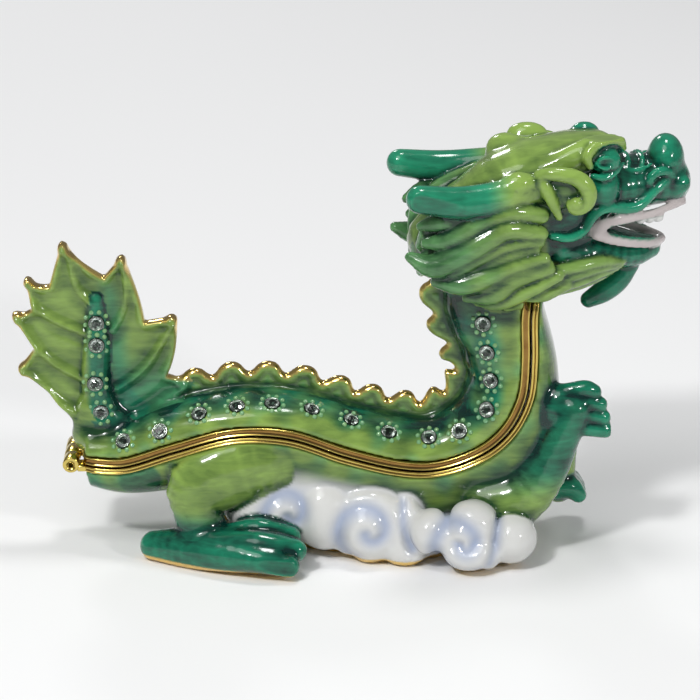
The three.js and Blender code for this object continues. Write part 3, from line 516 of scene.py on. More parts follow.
def head_forms():
    """Forms of the head with how softly each one joins the rest."""
    names = (
        "skull", "brow", "snout", "jaw", "lips", "teeth", "eyes", "ear hollow", "ears", "horns", "mane",
        "fringe", "barbel",
    )
    groups = {name: [] for name in names}
    add = lambda name, soft, forms: groups[name].extend((form, soft) for form in forms)
    add("skull", 1.5, [
        head_lump((7.0, 0, 13.2), (10.8, 9.2, 10.4)),
        head_limb([(2, 0, 12), (-6, 0, 9.5), (-11.4, 0, 8)], [(9.2, 9.0), (8.6, 7.2), (5.8, 4.2)]),
        head_limb([(4, 0, 6), (0, 0, 0)], [(8.8, 6.4), (7.4, 6.2)]),
    ])
    add("mane", 0.3, [
        form for path, girth in LOCKS for form in head_pair(path, [(g * 1.1, g) for g in girth], 20)
    ])
    add("horns", 1.1, head_pair(HORN, HORN_RADII))
    add("horns", 1.3, [
        head_lump((0.9, -9.7, 19.9), (2.5, 1.9, 1.8)),
        head_lump((5.8, 8.8, 22.6), (3.4, 2.0, 2.0)),
    ])
    add("brow", 1.4, [
        head_limb(
            [(-7, 0, 13.8), (0, 0, 18.8), (9, 0, 21.3), (16.0, 0, 21.8)],
            [(3.4, 2.6), (6.2, 3.6), (7.4, 3.4), (6.0, 3.2)],
        ),
    ])
    add("brow", 1.6, [head_lump((1.4, 4.6, 21.6), (3.2, 3.0, 2.5))])
    add("brow", 1.1, [head_limb(ridge, [1.0, 2.0, 2.0, 1.5]) for ridge in BROW_RIDGES])
    add("brow", 0.5, [head_limb(BROW_RIM, [0.6, 0.8, 0.9, 1.0, 1.0, 0.9, 0.6], 24)])
    add("eyes", 0.4, [head_lump(EYE, (2.5, 1.7, 2.2)), head_lump(FAR_EYE, (2.5, 1.8, 2.0))])
    for line in EYE_ALMOND:
        add("eyes", 0.12, [head_limb(line, [0.25, 0.32, 0.32, 0.25])])
    add("eyes", 0.3, [head_limb(UNDER_EYE, [0.5, 0.6, 0.55, 0.4])])
    add("snout", 1.2, [
        head_limb([(13, 0, 16.2), (20, 0, 16.4), (27.6, 0, 16.6)], [(8.0, 5.0), (6.2, 4.6), (4.4, 3.9)]),
    ])
    add("snout", 0.7, lump_pair((15.6, -6.0, 17.4), (2.7, 2.5, 3.9)))
    add("snout", 1.0, [head_lump((27.2, -0.4, 20.2), (3.1, 4.1, 4.2))])
    add("snout", 0.5, [head_lump((29.2, 0, 15.9), (2.3, 4.0, 2.5))])
    add("snout", 0.4, lump_pair((29.0, -3.0, 16.6), (1.9, 1.6, 1.7)))
    add("snout", 0.3, [
        head_limb([
            (x, -4.0, z - 0.5), (x + 0.5, -2.2, z + 0.4), (x + 0.6, 0, z + 0.7), (x + 0.5, 2.2, z + 0.4),
            (x, 4.0, z - 0.5),
        ], [0.35, 0.42, 0.45, 0.42, 0.35], 16)
        for x, z in [(20.0, 20.4), (22.4, 20.4)]
    ])
    add("snout", 0.3, head_pair(NOSE_SIDE, [0.3, 0.36, 0.3]))
    add("snout", 0.35, head_pair(NOSTRIL, [0.5, 0.7, 0.75, 0.7, 0.5], 16))
    add("jaw", 1.0, [
        head_limb([(9, 0, 7.2), (16, 0, 5.9), (21.6, 0, 4.8), (25.0, 0, 5.0)],
                  [(8.6, 4.2), (7.0, 3.4), (4.8, 2.8), (2.6, 1.9)]),
    ])
    add("lips", 0.4, head_pair(LIP_RIDGE, [0.6, 0.8, 0.9, 0.95, 0.95, 0.95, 0.9, 0.85, 0.75, 0.5], 24))
    add("lips", 0.7, head_pair(UPPER_LIP, [(0.7, 0.9), (0.5, 1.0), (0.5, 0.8), (0.5, 0.7), (0.5, 0.6)]))
    add("lips", 0.7, head_pair(LOWER_LIP, [(0.7, 0.9), (0.5, 1.0), (0.5, 1.0), (0.6, 0.9), 0.7]))
    for line in FRINGE:
        add("fringe", 0.25, head_pair(line, FRINGE_RADII))
    add("barbel", 0.5, [head_limb(BARBEL, [1.7, 2.0, 1.9, 1.4])])
    for x, y, size in TEETH:
        add("teeth", 0.2, lump_pair((x, y, 11.4), (size, 0.8, size)))
    add("ears", 0.6, head_pair(EAR_RIM, EAR_RIM_RADII, 24))
    add("ears", 0.15, lump_pair((10.0, -11.9, 16.7), (1.1, 1.0, 1.1)))
    add("ears", 0.4, head_pair(EAR_FOLD, [0.9, 1.0, 0.9, 0.6]))
    add("ear hollow", 0.6, lump_pair((8.2, -9.4, 18.4), (4.0, 1.5, 3.2)))
    return groups


def head_hollow():
    return head_limb([(-3, 0, -3), (1, 0, 4), (5, 0, 12)], [(4.4, 5), (5.5, 5.5), (5, 5)])


# Legs, given for the right side, and clouds

HIND_FOOT_FORWARD = 12.0


THIGH = [
    (-12.5, -7.6, 16.6), (-19, -8.8, 15.8), (-25.6, -9.2, 13.0), (-26.2, -9.6, 9.0), (-25.2, -10.0, 5.0),
]


def leg_forms(forward, sideways):
    place = lambda points: [(x + forward, sideways * y, z) for x, y, z in points]
    toes = [
        [(-22, -11.6, 5.6), (-16, -12.0, 6.6), (-10.8, -12.2, 5.2)],
        [(-22, -13.6, 5.0), (-16, -15.0, 5.4), (-9.8, -15.4, 4.2)],
        [(-23, -14.4, 3.6), (-17, -17.2, 3.6), (-11.0, -18.2, 2.6)],
    ]
    thigh = limb(
        place(THIGH),
        [(2.4, 3.6), (3.2, 5.6), (3.6, 5.6), (3.4, 4.1), (3.6, 4.2)],
    )
    foot = limb(
        place([(-33.4, -8.6, 2.2), (-27, -11.0, 2.8), (-20, -13.4, 3.4), (-13.2, -14.6, 3.2)]),
        [(2.6, 2.6), (3.8, 3.6), (4.6, 3.6), (4.4, 3.2)],
    )
    toe_forms = [(limb(place(path), [1.4, 2.0, 1.9]), 0.9) for path in toes]
    return {"thigh": [(thigh, 0.9)], "foot": [(foot, 1.0)] + toe_forms}


def arm_forms():
    fingers = []
    for i, (z, reach) in enumerate([(29.6, 39.4), (27.5, 40.4), (25.3, 41.0), (23.2, 41.4)]):
        out = -7.0 - 0.3 * i
        path = [(35.4, -6.6, z - 0.4), (38.0, out, z), (reach, out, z - 0.5)]
        fingers.append((limb(path, [1.3, 1.5, 1.35]), 0.5))
    claws = [
        (limb([(34.6, y, 7.2), (36.6, y + 0.2, 7.4), (38.2, y + 0.2, 6.0)], [1.6, 1.9, 1.4]), 0.8)
        for y in (4.2, 6.4, 8.4)
    ]
    near = limb(
        [(22, -6.4, 9.0), (27.2, -6.8, 10.2), (31.4, -7.4, 15.0), (33.8, -7.6, 20.4), (36.2, -7.4, 26.0)],
        [4.8, 4.9, 3.8, 3.2, 2.8],
    )
    far = limb(
        [(24, 6.0, 11.0), (30.0, 6.0, 14.6), (34.4, 5.4, 17.0), (35.0, 5.8, 12.0), (34.8, 6.4, 6.8)],
        [4.2, 3.8, 3.2, 2.7, 2.8],
    )
    palms = [
        (lump((34.0, -6.2, 25.6), (3.6, 3.2, 4.6)), 0.9),
        (lump((37.2, -6.4, 26.2), (3.2, 2.4, 3.9)), 0.9),
    ]
    return {"arms": [(near, 1.2), (far, 1.2)], "paws": palms + fingers + claws}


CLOUD_LUMPS = [
    ((-13.4, 6.4, 8.4), (8.6, 5.2, 5.8)), ((-5.0, 7.4, 7.4), (5.6, 4.8, 6.2)),
    ((2.4, 8.4, 6.0), (7.4, 5.6, 6.8)),
    ((8.2, 8.8, 5.6), (3.6, 4.4, 6.0)), ((8.4, 9.4, 2.4), (4.2, 4.4, 3.2)),
    ((13.2, 12.2, 6.2), (4.6, 4.4, 4.0)),
    ((19.2, 12.6, 7.4), (4.9, 4.6, 4.4)), ((25.8, 11.8, 5.0), (4.5, 4.5, 4.3)),
    ((19.2, 13.8, 3.4), (5.3, 4.6, 3.9)),
]
# Swirls in the clouds, in the XZ plane: centre, outer radius, turns, first angle
SWIRLS = [((-10.9, 8.6), 4.4, 1.0, 3.4), ((2.3, 6.4), 5.8, 1.2, 3.0), ((17.6, 5.8), 6.0, 1.3, 3.4)]
CLOUD_CREASES = [[(8.0, 10.4), (8.1, 7.0), (9.4, 3.4)], [(23.6, 8.6), (23.2, 5.4), (22.2, 2.4)]]


def cloud_forms():
    bank = limb(
        [(-9, 0, 2.4), (3, 0, 2.8), (14, 0, 3.2), (25, 0, 3.0)], [(5, 5), (9.6, 5), (11.6, 5), (9, 5)]
    )
    lumps = [
        (lump((x, side * y, z), halves), 0.9) for (x, y, z), halves in CLOUD_LUMPS for side in (-1, 1)
    ]
    return [(bank, 1.2)] + lumps


def swirl_line(center, radius, turns, first):
    share = np.linspace(0.12, 1, 26)
    angle = first + 2 * math.pi * turns * share
    reach = radius * share
    return np.stack([center[0] + reach * np.cos(angle), center[1] + reach * np.sin(angle)], axis=1)


def swirl_depth(x, z):
    """0 to 1: how deep a cloud's spiral groove is here."""
    depth = 0.0
    for swirl in SWIRLS:
        near = line_distance(x, z, swirl_line(*swirl), steps=36)
        depth = np.maximum(depth, np.exp(-((near / 1.3) ** 2)))
    for crease in CLOUD_CREASES:
        depth = np.maximum(depth, 0.8 * np.exp(-((line_distance(x, z, crease) / 0.9) ** 2)))
    return depth


# Sculpting

class Sculpt:
    """A block of space, in millimetres, that holds the distance to a casting's surface."""

    def __init__(self, low, high):
        first = np.floor(np.array(low) / VOXEL).astype(int)
        last = np.ceil(np.array(high) / VOXEL).astype(int)
        self.first = first
        self.axes = [np.arange(a, b + 1) * VOXEL for a, b in zip(first, last)]
        self.depth = np.full([len(axis) for axis in self.axes], BAND, np.float32)

    def window(self, low, high):
        cut = []
        for axis, a, b in zip(self.axes, low, high):
            cut.append(slice(int(np.searchsorted(axis, a)), int(np.searchsorted(axis, b))))
        x, y, z = (axis[part] for axis, part in zip(self.axes, cut))
        return tuple(cut), x[:, None, None], y[None, :, None], z[None, None, :]

    def everywhere(self):
        return self.axes[0][:, None, None], self.axes[1][None, :, None], self.axes[2][None, None, :]

    def add(self, form, soft=0.8):
        cut, x, y, z = self.window(form.low, form.high)
        self.depth[cut] = blend_min(self.depth[cut], form.distance(x, y, z), soft)

    def take(self, form, soft=0.0):
        cut, x, y, z = self.window(form.low, form.high)
        self.depth[cut] = blend_max(self.depth[cut], -form.distance(x, y, z), soft)

    def surface(self):
        grid = openvdb.FloatGrid(BAND)
        depth = np.clip(self.depth, -BAND, BAND).astype(np.float32)
        grid.copyFromArray(depth, ijk=tuple(int(i) for i in self.first))
        grid.transform = openvdb.createLinearTransform(voxelSize=VOXEL)
        points, quads = grid.convertToQuads(isovalue=0.0)
        return points.astype(float), quads


def arch_distance(y, height, half, high):
    """Distance to a half section with its flat side at height 0."""
    power = 2 / ARCH_FULLNESS
    across = np.abs(y) / half
    over = np.maximum(height, 0) / high
    size = np.maximum((across**power + over**power) ** (1 / power), 0.2)
    slope = size ** (1 - power) * np.hypot(across ** (power - 1) / half, over ** (power - 1) / high)
    return (size - 1) / np.maximum(slope, 1 / 30)


def mesh_object(name, points, faces, material=None, smooth=True):
    """A Blender object from points in millimetres."""
    mesh = bpy.data.meshes.new(name)
    mesh.from_pydata((np.asarray(points) * MM).tolist(), [], [tuple(int(i) for i in face) for face in faces])
    mesh.validate()
    if smooth:
        mesh.shade_smooth()
    obj = bpy.data.objects.new(name, mesh)
    bpy.context.scene.collection.objects.link(obj)
    if material:
        mesh.materials.append(material)
    return obj


def quad_object(name, points, quads):
    """A large mesh of quads, made through arrays."""
    mesh = bpy.data.meshes.new(name)
    mesh.vertices.add(len(points))
    mesh.vertices.foreach_set("co", (points * MM).astype(np.float32).ravel())
    mesh.loops.add(quads.size)
    mesh.loops.foreach_set("vertex_index", quads.astype(np.int32).ravel())
    mesh.polygons.add(len(quads))
    mesh.polygons.foreach_set("loop_start", (np.arange(len(quads)) * 4).astype(np.int32))
    mesh.update(calc_edges=True)
    mesh.validate()
    mesh.shade_smooth()
    obj = bpy.data.objects.new(name, mesh)
    bpy.context.scene.collection.objects.link(obj)
    return obj


def largest_part(points, quads):
    """Only the largest connected part of a mesh, so that no loose speck stays."""
    owner = np.arange(len(points))
    while True:
        low = owner[quads].min(axis=1)
        fresh = owner.copy()
        for column in range(4):
            np.minimum.at(fresh, quads[:, column], low)
        fresh = fresh[fresh]
        if (fresh == owner).all():
            break
        owner = fresh
    names, counts = np.unique(owner, return_counts=True)
    keep = owner == names[counts.argmax()]
    index = np.cumsum(keep) - 1
    return points[keep], index[quads[keep[quads].all(axis=1)]]


def point_normals(points, quads):
    a, b, c, d = (points[quads[:, i]] for i in range(4))
    face = np.cross(c - a, d - b)
    normals = np.zeros_like(points)
    for column in range(4):
        for axis in range(3):
            normals[:, axis] += np.bincount(quads[:, column], face[:, axis], len(points))
    return normals / np.maximum(np.linalg.norm(normals, axis=1), 1e-9)[:, None]


def hollowness(points, quads, normals, rounds):
    """How hollow (more than 0) or raised (less than 0) the surface is at each point, in mm."""
    start = quads.ravel()
    end = np.roll(quads, -1, axis=1).ravel()
    count = np.bincount(start, minlength=len(points)) + np.bincount(end, minlength=len(points))
    mean = points.copy()
    for _ in range(rounds):
        total = np.empty_like(mean)
        for axis in range(3):
            total[:, axis] = np.bincount(start, mean[end, axis], len(points)) + np.bincount(
                end, mean[start, axis], len(points)
            )
        mean = 0.5 * mean + 0.5 * total / count[:, None]
    return ((mean - points) * normals).sum(axis=1)


def nearest_of(forms, points, limit=4.0):
    """Distance from points to the nearest of some forms; limit where none is near."""
    best = np.full(len(points), limit)
    for form, _ in forms:
        inside = np.all((points > form.low) & (points < form.high), axis=1)
        if inside.any():
            x, y, z = points[inside].T
            best[inside] = np.minimum(best[inside], form.distance(x, y, z))
    return best


def mottle(points):
    """Slow uneven pattern from about -1 to 1, a few millimetres across."""
    x, y, z = points.T
    waves = np.sin(0.61 * x + 0.9 * z + 1.3) + np.sin(-0.83 * x + 0.47 * z + 0.5 * y)
    waves = waves + np.sin(1.27 * x - 0.31 * y + 0.2 * z)
    return (waves + np.sin(0.37 * x - 1.21 * z + 2.1)) / 2.6


def paint(obj, **masks):
    for name, values in masks.items():
        layer = obj.data.attributes.new(name, "FLOAT", "POINT")
        layer.data.foreach_set("value", np.clip(values, 0, 1).astype(np.float32))


def cut_seam_room(sculpt, x, y, place, for_lid):
    """Space that the other half and the rims need is taken out of a casting."""
    if for_lid:
        late = place.run > THROAT_ROOM_FIRST * SEAM_LENGTH
        room = np.maximum(place.height - LID_FLOOR, -(place.height + place.depth + THROAT_CLEARANCE))
        room = np.where(late, room, BAND)
    else:
        room = np.maximum(BASE_ROOF - place.height, place.height - LEG_REACH)
    room = np.maximum(np.maximum(room, np.abs(y) - (place.half + LEG_REACH)), place.over - 0.4)
    sculpt.depth = np.maximum(sculpt.depth, -room).astype(np.float32)


def hollow_out(sculpt, y, place, high):
    """The cavity, open at the seam."""
    inside = arch_distance(y, high[1] * place.height, place.half - WALL, np.maximum(high[0], 0.4))
    inside = np.maximum(inside, -high[1] * place.height - 1.0)
    ends = np.maximum(WALL - place.run, place.run - (SEAM_LENGTH - WALL))
    sculpt.depth = np.maximum(sculpt.depth, -np.maximum(inside, ends)).astype(np.float32)


# Materials

def mix_color(nodes, links, mask, below, above):
    node = nodes.new("ShaderNodeMix")
    node.data_type = "RGBA"
    links.new(mask, node.inputs[0])
    for value, socket in ((below, node.inputs[6]), (above, node.inputs[7])):
        if isinstance(value, bpy.types.NodeSocket):
            links.new(value, socket)
        else:
            socket.default_value = (*value, 1) if len(value) == 3 else value
    return node.outputs[2]


def new_group(name, inputs, outputs):
    group = bpy.data.node_groups.new(name, "ShaderNodeTree")
    for title, kind, default in inputs:
        socket = group.interface.new_socket(title, in_out="INPUT", socket_type=kind)
        socket.default_value = default
    for title, kind in outputs:
        group.interface.new_socket(title, in_out="OUTPUT", socket_type=kind)
    return group, group.nodes.new("NodeGroupInput"), group.nodes.new("NodeGroupOutput")


def drift_group():
    """Slow and fine variation over a surface, as a brushed or cast finish has."""
    group, given, result = new_group(
        "surface drift",
        [
            ("Size", "NodeSocketFloat", 200.0), ("Stretch", "NodeSocketVector", (1, 1, 1)),
            ("Detail", "NodeSocketFloat", 3.0),
        ],
        [("Drift", "NodeSocketFloat")],
    )
    nodes, links = group.nodes, group.links
    place = nodes.new("ShaderNodeTexCoord")
    stretch = nodes.new("ShaderNodeVectorMath")
    stretch.operation = "MULTIPLY"
    links.new(place.outputs["Object"], stretch.inputs[0])
    links.new(given.outputs["Stretch"], stretch.inputs[1])
    noise = nodes.new("ShaderNodeTexNoise")
    noise.inputs["Distortion"].default_value = 0.6
    links.new(stretch.outputs[0], noise.inputs["Vector"])
    links.new(given.outputs["Size"], noise.inputs["Scale"])
    links.new(given.outputs["Detail"], noise.inputs["Detail"])
    links.new(noise.outputs["Fac"], result.inputs["Drift"])
    return group


def enamel_group():
    """Enamel colour from painted masks: green and teal washes, clouds, blue and pink shading, bare gold."""
    colors = [
        ("Deep green", (0.012, 0.07, 0.03, 1)), ("Light green", (0.26, 0.42, 0.07, 1)),
        ("Deep teal", (0.002, 0.035, 0.03, 1)), ("Light teal", (0.02, 0.30, 0.19, 1)),
        ("Cloud white", (0.72, 0.71, 0.70, 1)), ("Cloud blue", (0.34, 0.40, 0.60, 1)),
        ("Lip pink", (0.55, 0.49, 0.48, 1)), ("Gold", (0.80, 0.56, 0.17, 1)),
    ]
    masks = ["Light", "Teal", "White", "Blue", "Pink", "Gilt", "Drift"]
    group, given, result = new_group(
        "painted enamel",
        [(name, "NodeSocketColor", value) for name, value in colors]
        + [(name, "NodeSocketFloat", 0.0) for name in masks],
        [("Color", "NodeSocketColor"), ("Bare metal", "NodeSocketFloat"), ("Roughness", "NodeSocketFloat")],
    )
    nodes, links = group.nodes, group.links
    # The wash runs from the deep to the light colours by the Light mask: the enamel's own tone, with painted
    # shade in hollows and painted highlight on raised places.
    wash = nodes.new("ShaderNodeMath")
    wash.operation = "MULTIPLY_ADD"
    wash.use_clamp = True
    centred = nodes.new("ShaderNodeMath")
    centred.operation = "SUBTRACT"
    centred.inputs[1].default_value = 1.0
    links.new(given.outputs["Drift"], centred.inputs[0])
    links.new(centred.outputs[0], wash.inputs[0])
    wash.inputs[1].default_value = 0.85
    links.new(given.outputs["Light"], wash.inputs[2])
    green = mix_color(
        nodes, links, wash.outputs[0], given.outputs["Deep green"], given.outputs["Light green"]
    )
    teal = mix_color(nodes, links, wash.outputs[0], given.outputs["Deep teal"], given.outputs["Light teal"])
    color = mix_color(nodes, links, given.outputs["Teal"], green, teal)
    color = mix_color(nodes, links, given.outputs["Pink"], color, given.outputs["Lip pink"])
    cloud = mix_color(
        nodes, links, given.outputs["Blue"], given.outputs["Cloud white"], given.outputs["Cloud blue"]
    )
    color = mix_color(nodes, links, given.outputs["White"], color, cloud)
    color = mix_color(nodes, links, given.outputs["Gilt"], color, given.outputs["Gold"])
    links.new(color, result.inputs["Color"])
    links.new(given.outputs["Gilt"], result.inputs["Bare metal"])
    rough = nodes.new("ShaderNodeMath")
    rough.operation = "MULTIPLY_ADD"
    links.new(given.outputs["Drift"], rough.inputs[0])
    rough.inputs[1].default_value = 0.08
    rough.inputs[2].default_value = 0.07
    links.new(rough.outputs[0], result.inputs["Roughness"])
    return group


def enamel_material(name, colors):
    material = bpy.data.materials.new(name)
    material.use_nodes = True
    nodes, links = material.node_tree.nodes, material.node_tree.links
    shader = nodes["Principled BSDF"]
    shader.inputs["Specular IOR Level"].default_value = 0.35
    shader.inputs["IOR"].default_value = 1.52
    shader.inputs["Coat Weight"].default_value = 0.3
    shader.inputs["Coat Roughness"].default_value = 0.03
    drift = nodes.new("ShaderNodeGroup")
    drift.node_tree = bpy.data.node_groups["surface drift"]
    drift.inputs["Size"].default_value = 170.0
    drift.inputs["Detail"].default_value = 4.0
    drift.inputs["Stretch"].default_value = (0.7, 1.0, 1.3)
    coloring = nodes.new("ShaderNodeGroup")
    coloring.node_tree = bpy.data.node_groups["painted enamel"]
    streaks = nodes.new("ShaderNodeGroup")
    streaks.node_tree = bpy.data.node_groups["surface drift"]
    streaks.inputs["Size"].default_value = 520.0
    streaks.inputs["Stretch"].default_value = (0.35, 1.0, 1.5)
    both = nodes.new("ShaderNodeMath")
    both.operation = "ADD"
    links.new(drift.outputs[0], both.inputs[0])
    links.new(streaks.outputs[0], both.inputs[1])
    links.new(both.outputs[0], coloring.inputs["Drift"])
    for title in ("Light", "Teal", "White", "Blue", "Pink", "Gilt"):
        mask = nodes.new("ShaderNodeAttribute")
        mask.attribute_name = title.lower()
        links.new(mask.outputs["Fac"], coloring.inputs[title])
    coloring.inputs["Light green"].default_value = colors.light_green
    coloring.inputs["Deep green"].default_value = colors.deep_green
    coloring.inputs["Light teal"].default_value = colors.light_teal
    coloring.inputs["Deep teal"].default_value = colors.deep_teal
    coloring.inputs["Cloud white"].default_value = colors.cloud_white
    coloring.inputs["Cloud blue"].default_value = colors.cloud_blue
    links.new(coloring.outputs["Color"], shader.inputs["Base Color"])
    links.new(coloring.outputs["Bare metal"], shader.inputs["Metallic"])
    links.new(coloring.outputs["Roughness"], shader.inputs["Roughness"])
    fine = nodes.new("ShaderNodeGroup")
    fine.node_tree = bpy.data.node_groups["surface drift"]
    fine.inputs["Size"].default_value = 900.0
    bump = nodes.new("ShaderNodeBump")
    bump.inputs["Strength"].default_value = 0.12
    bump.inputs["Distance"].default_value = 0.0002
    links.new(fine.outputs[0], bump.inputs["Height"])
    links.new(bump.outputs[0], shader.inputs["Normal"])
    return material


def gold_material(name, color, roughness, tarnish_and_shade, size=420.0):
    """Polished plated metal, darker where it tarnishes in its slow drift, and where its painted shade
    attribute makes it darker, as the painted dark reflection in the rims' grooves.
    """
    material = bpy.data.materials.new(name)
    material.use_nodes = True
    nodes, links = material.node_tree.nodes, material.node_tree.links
    shader = nodes["Principled BSDF"]
    shader.inputs["Metallic"].default_value = 1.0
    drift = nodes.new("ShaderNodeGroup")
    drift.node_tree = bpy.data.node_groups["surface drift"]
    drift.inputs["Size"].default_value = size
    shade = nodes.new("ShaderNodeAttribute")
    shade.attribute_name = "shade"
    cast = nodes.new("ShaderNodeMath")
    cast.operation = "MULTIPLY_ADD"
    cast.use_clamp = True
    links.new(drift.outputs[0], cast.inputs[0])
    cast.inputs[1].default_value = 0.3
    links.new(shade.outputs["Fac"], cast.inputs[2])
    links.new(mix_color(nodes, links, cast.outputs[0], color, tarnish_and_shade), shader.inputs["Base Color"])
    rough = nodes.new("ShaderNodeMapRange")
    rough.inputs["To Min"].default_value = roughness
    rough.inputs["To Max"].default_value = roughness + 0.14
    links.new(drift.outputs[0], rough.inputs["Value"])
    links.new(rough.outputs[0], shader.inputs["Roughness"])
    bump = nodes.new("ShaderNodeBump")
    bump.inputs["Strength"].default_value = 0.1
    bump.inputs["Distance"].default_value = 0.0001
    links.new(drift.outputs[0], bump.inputs["Height"])
    links.new(bump.outputs[0], shader.inputs["Normal"])
    return material


def crystal_material():
    material = bpy.data.materials.new("clear crystal")
    material.use_nodes = True
    nodes, links = material.node_tree.nodes, material.node_tree.links
    shader = nodes["Principled BSDF"]
    shader.inputs["Transmission Weight"].default_value = 1.0
    shader.inputs["IOR"].default_value = 1.58
    shader.inputs["Roughness"].default_value = 0.0
    shader.inputs["Metallic"].default_value = 0.0
    drift = nodes.new("ShaderNodeGroup")
    drift.node_tree = bpy.data.node_groups["surface drift"]
    drift.inputs["Size"].default_value = 700.0
    tint = mix_color(nodes, links, drift.outputs[0], (0.82, 1.0, 0.87), (0.97, 1.0, 0.97))
    links.new(tint, shader.inputs["Base Color"])
    return material


def dot_material(colors):
    """Enamel of the small raised dots, some greener and some more teal."""
    material = bpy.data.materials.new("dot enamel")
    material.use_nodes = True
    nodes, links = material.node_tree.nodes, material.node_tree.links
    shader = nodes["Principled BSDF"]
    shader.inputs["Roughness"].default_value = 0.15
    shader.inputs["Coat Weight"].default_value = 0.6
    drift = nodes.new("ShaderNodeGroup")
    drift.node_tree = bpy.data.node_groups["surface drift"]
    drift.inputs["Size"].default_value = 300.0
    tint = mix_color(nodes, links, drift.outputs[0], colors.dot_green, colors.dot_teal)
    links.new(tint, shader.inputs["Base Color"])
    return material


# Sizes and colours that a user would change

def color_property(title, about, value):
    return bpy.props.FloatVectorProperty(
        name=title, description=about, default=(*value, 1.0), size=4, min=0, max=1, subtype="COLOR"
    )


class DragonBoxColors(bpy.types.PropertyGroup):
    # The deep colours are the enamel's darker tone and also painted shade in hollows; the light colours are
    # its lighter tone and also painted highlight on raised places.
    light_green: color_property("Light green", "Light green enamel, and its painted highlight on raised places", (0.25, 0.385, 0.08))
    deep_green: color_property("Deep green", "Dark green enamel, and its painted shade in hollows", (0.012, 0.05, 0.015))
    light_teal: color_property("Light teal", "Light teal enamel, and its painted highlight on raised places", (0.015, 0.30, 0.16))
    deep_teal: color_property("Deep teal", "Dark teal enamel, and its painted shade in hollows", (0.001, 0.022, 0.018))
    cloud_white: color_property("Cloud white", "Enamel of the clouds", (0.66, 0.66, 0.64))
    cloud_blue: color_property("Cloud blue", "Shading in the swirls of the clouds", (0.33, 0.39, 0.54))
    dot_green: color_property("Dot green", "Greener dots round the crystals", (0.26, 0.42, 0.14))
    dot_teal: color_property("Dot teal", "More teal dots round the crystals", (0.1, 0.34, 0.2))
    gold: color_property("Gold", "Plating of the rims and hinge", (0.76, 0.60, 0.16))
    # Gold shade is the plating's tarnish and also the painted dark reflection in the rims' grooves.
    gold_shade: color_property("Gold shade", "Plating where tarnished, and its painted dark reflection in the rims' grooves", (0.26, 0.13, 0.04))


class DragonBoxSizes(bpy.types.PropertyGroup):
    stone_radius: bpy.props.FloatProperty(
        name="Stone radius", description="Radius of a crystal at its girdle", default=1.1 * MM, unit="LENGTH")
    dot_radius: bpy.props.FloatProperty(
        name="Dot radius", description="Radius of a raised dot round a crystal",
        default=0.42 * MM, unit="LENGTH",
    )
    dot_ring: bpy.props.FloatProperty(
        name="Dot ring", description="Radius of the ring of dots round a crystal",
        default=1.9 * MM, unit="LENGTH",
    )
    dot_count: bpy.props.IntProperty(name="Dots", description="Raised dots round each crystal", default=9)


# Stones

STALK_STONES = [0.28, 0.49, 0.74, 0.87]
BACK_STONES = [
    (0.082, 0.62), (0.151, 0.5), (0.222, 0.68), (0.278, 0.72), (0.329, 0.78), (0.385, 0.8), (0.454, 0.82),
    (0.526, 0.75), (0.612, 0.69), (0.686, 0.56), (0.775, 0.47), (0.85, 0.55), (0.906, 0.55), (0.957, 0.51),
]
STONE_PROUD = 0.15
STONE_CROWN = 0.55
STONE_PAVILION = 0.75


def stone_places(sideways):
    """Place and facing of one side's crystals, from the leaf to the neck."""
    places = []
    stalk = catmull_rom(STALK, 400)
    girth = catmull_rom([(r,) for r in STALK_RADII], 400)[:, 0]
    for share in STALK_STONES:
        index = int(round(share * 400))
        facing = np.array([0.0, sideways, 0.0])
        places.append((stalk[index] + facing * girth[index] * math.cos(math.pi / 8), facing))
    for share, height_share in BACK_STONES:
        run = share * SEAM_LENGTH
        angle = math.asin(height_share ** (1 / ARCH_FULLNESS))
        across = math.cos(angle) ** ARCH_FULLNESS
        half, rise = seam_size(run, HALF), seam_size(run, RISE)
        high = rise - LID_FLOOR
        point = on_seam(run, sideways * half * across, LID_FLOOR + high * height_share)
        slope = 2 / ARCH_FULLNESS - 1
        up = on_seam(run, 0, 1) - on_seam(run, 0, 0)
        facing = up * (height_share**slope / high) + np.array([0, sideways * across**slope / half, 0])
        places.append((point, facing / np.linalg.norm(facing)))
    return places


def turned(facing, turn=0.0):
    """Rotation that turns +Z to a facing."""
    return Vector(facing).to_track_quat("Z", "Y").to_matrix().to_4x4() @ Matrix.Rotation(turn, 4, "Z")


def brilliant(radius):
    """A round crystal: table, star and kite facets on the crown, and a faceted pavilion, in millimetres."""
    ring = lambda r, h, count, turn: [
        (r * math.cos(2 * math.pi * (i + turn) / count), r * math.sin(2 * math.pi * (i + turn) / count), h)
        for i in range(count)
    ]
    table = ring(radius * 0.56, STONE_PROUD + STONE_CROWN, 8, 0)
    kite = ring(radius * 0.82, STONE_PROUD + STONE_CROWN * 0.58, 8, 0.5)
    girdle = ring(radius, STONE_PROUD + 0.04, 16, 0)
    under = ring(radius, STONE_PROUD - 0.04, 16, 0)
    low = ring(radius * 0.5, STONE_PROUD - STONE_PAVILION * 0.55, 8, 0.5)
    points = table + kite + girdle + under + low + [(0, 0, STONE_PROUD - STONE_PAVILION)]
    t, k, g, u, w, tip = 0, 8, 16, 32, 48, 56
    faces = [tuple(range(8))]
    for i in range(8):
        j = (i + 1) % 8
        faces += [
            (t + i, k + i, t + j),
            (t + i, k + (i - 1) % 8, g + 2 * i),
            (t + i, g + 2 * i, k + i),
            (k + i, g + 2 * i, g + 2 * i + 1),
            (k + i, g + 2 * i + 1, g + (2 * i + 2) % 16),
            (u + 2 * i, w + i, u + 2 * i + 1),
            (u + 2 * i + 1, w + i, u + (2 * i + 2) % 16),
            (u + (2 * i + 2) % 16, w + i, w + j),
            (w + i, tip, w + j),
        ]
    for i in range(16):
        j = (i + 1) % 16
        faces.append((g + i, u + i, u + j, g + j))
    return points, faces


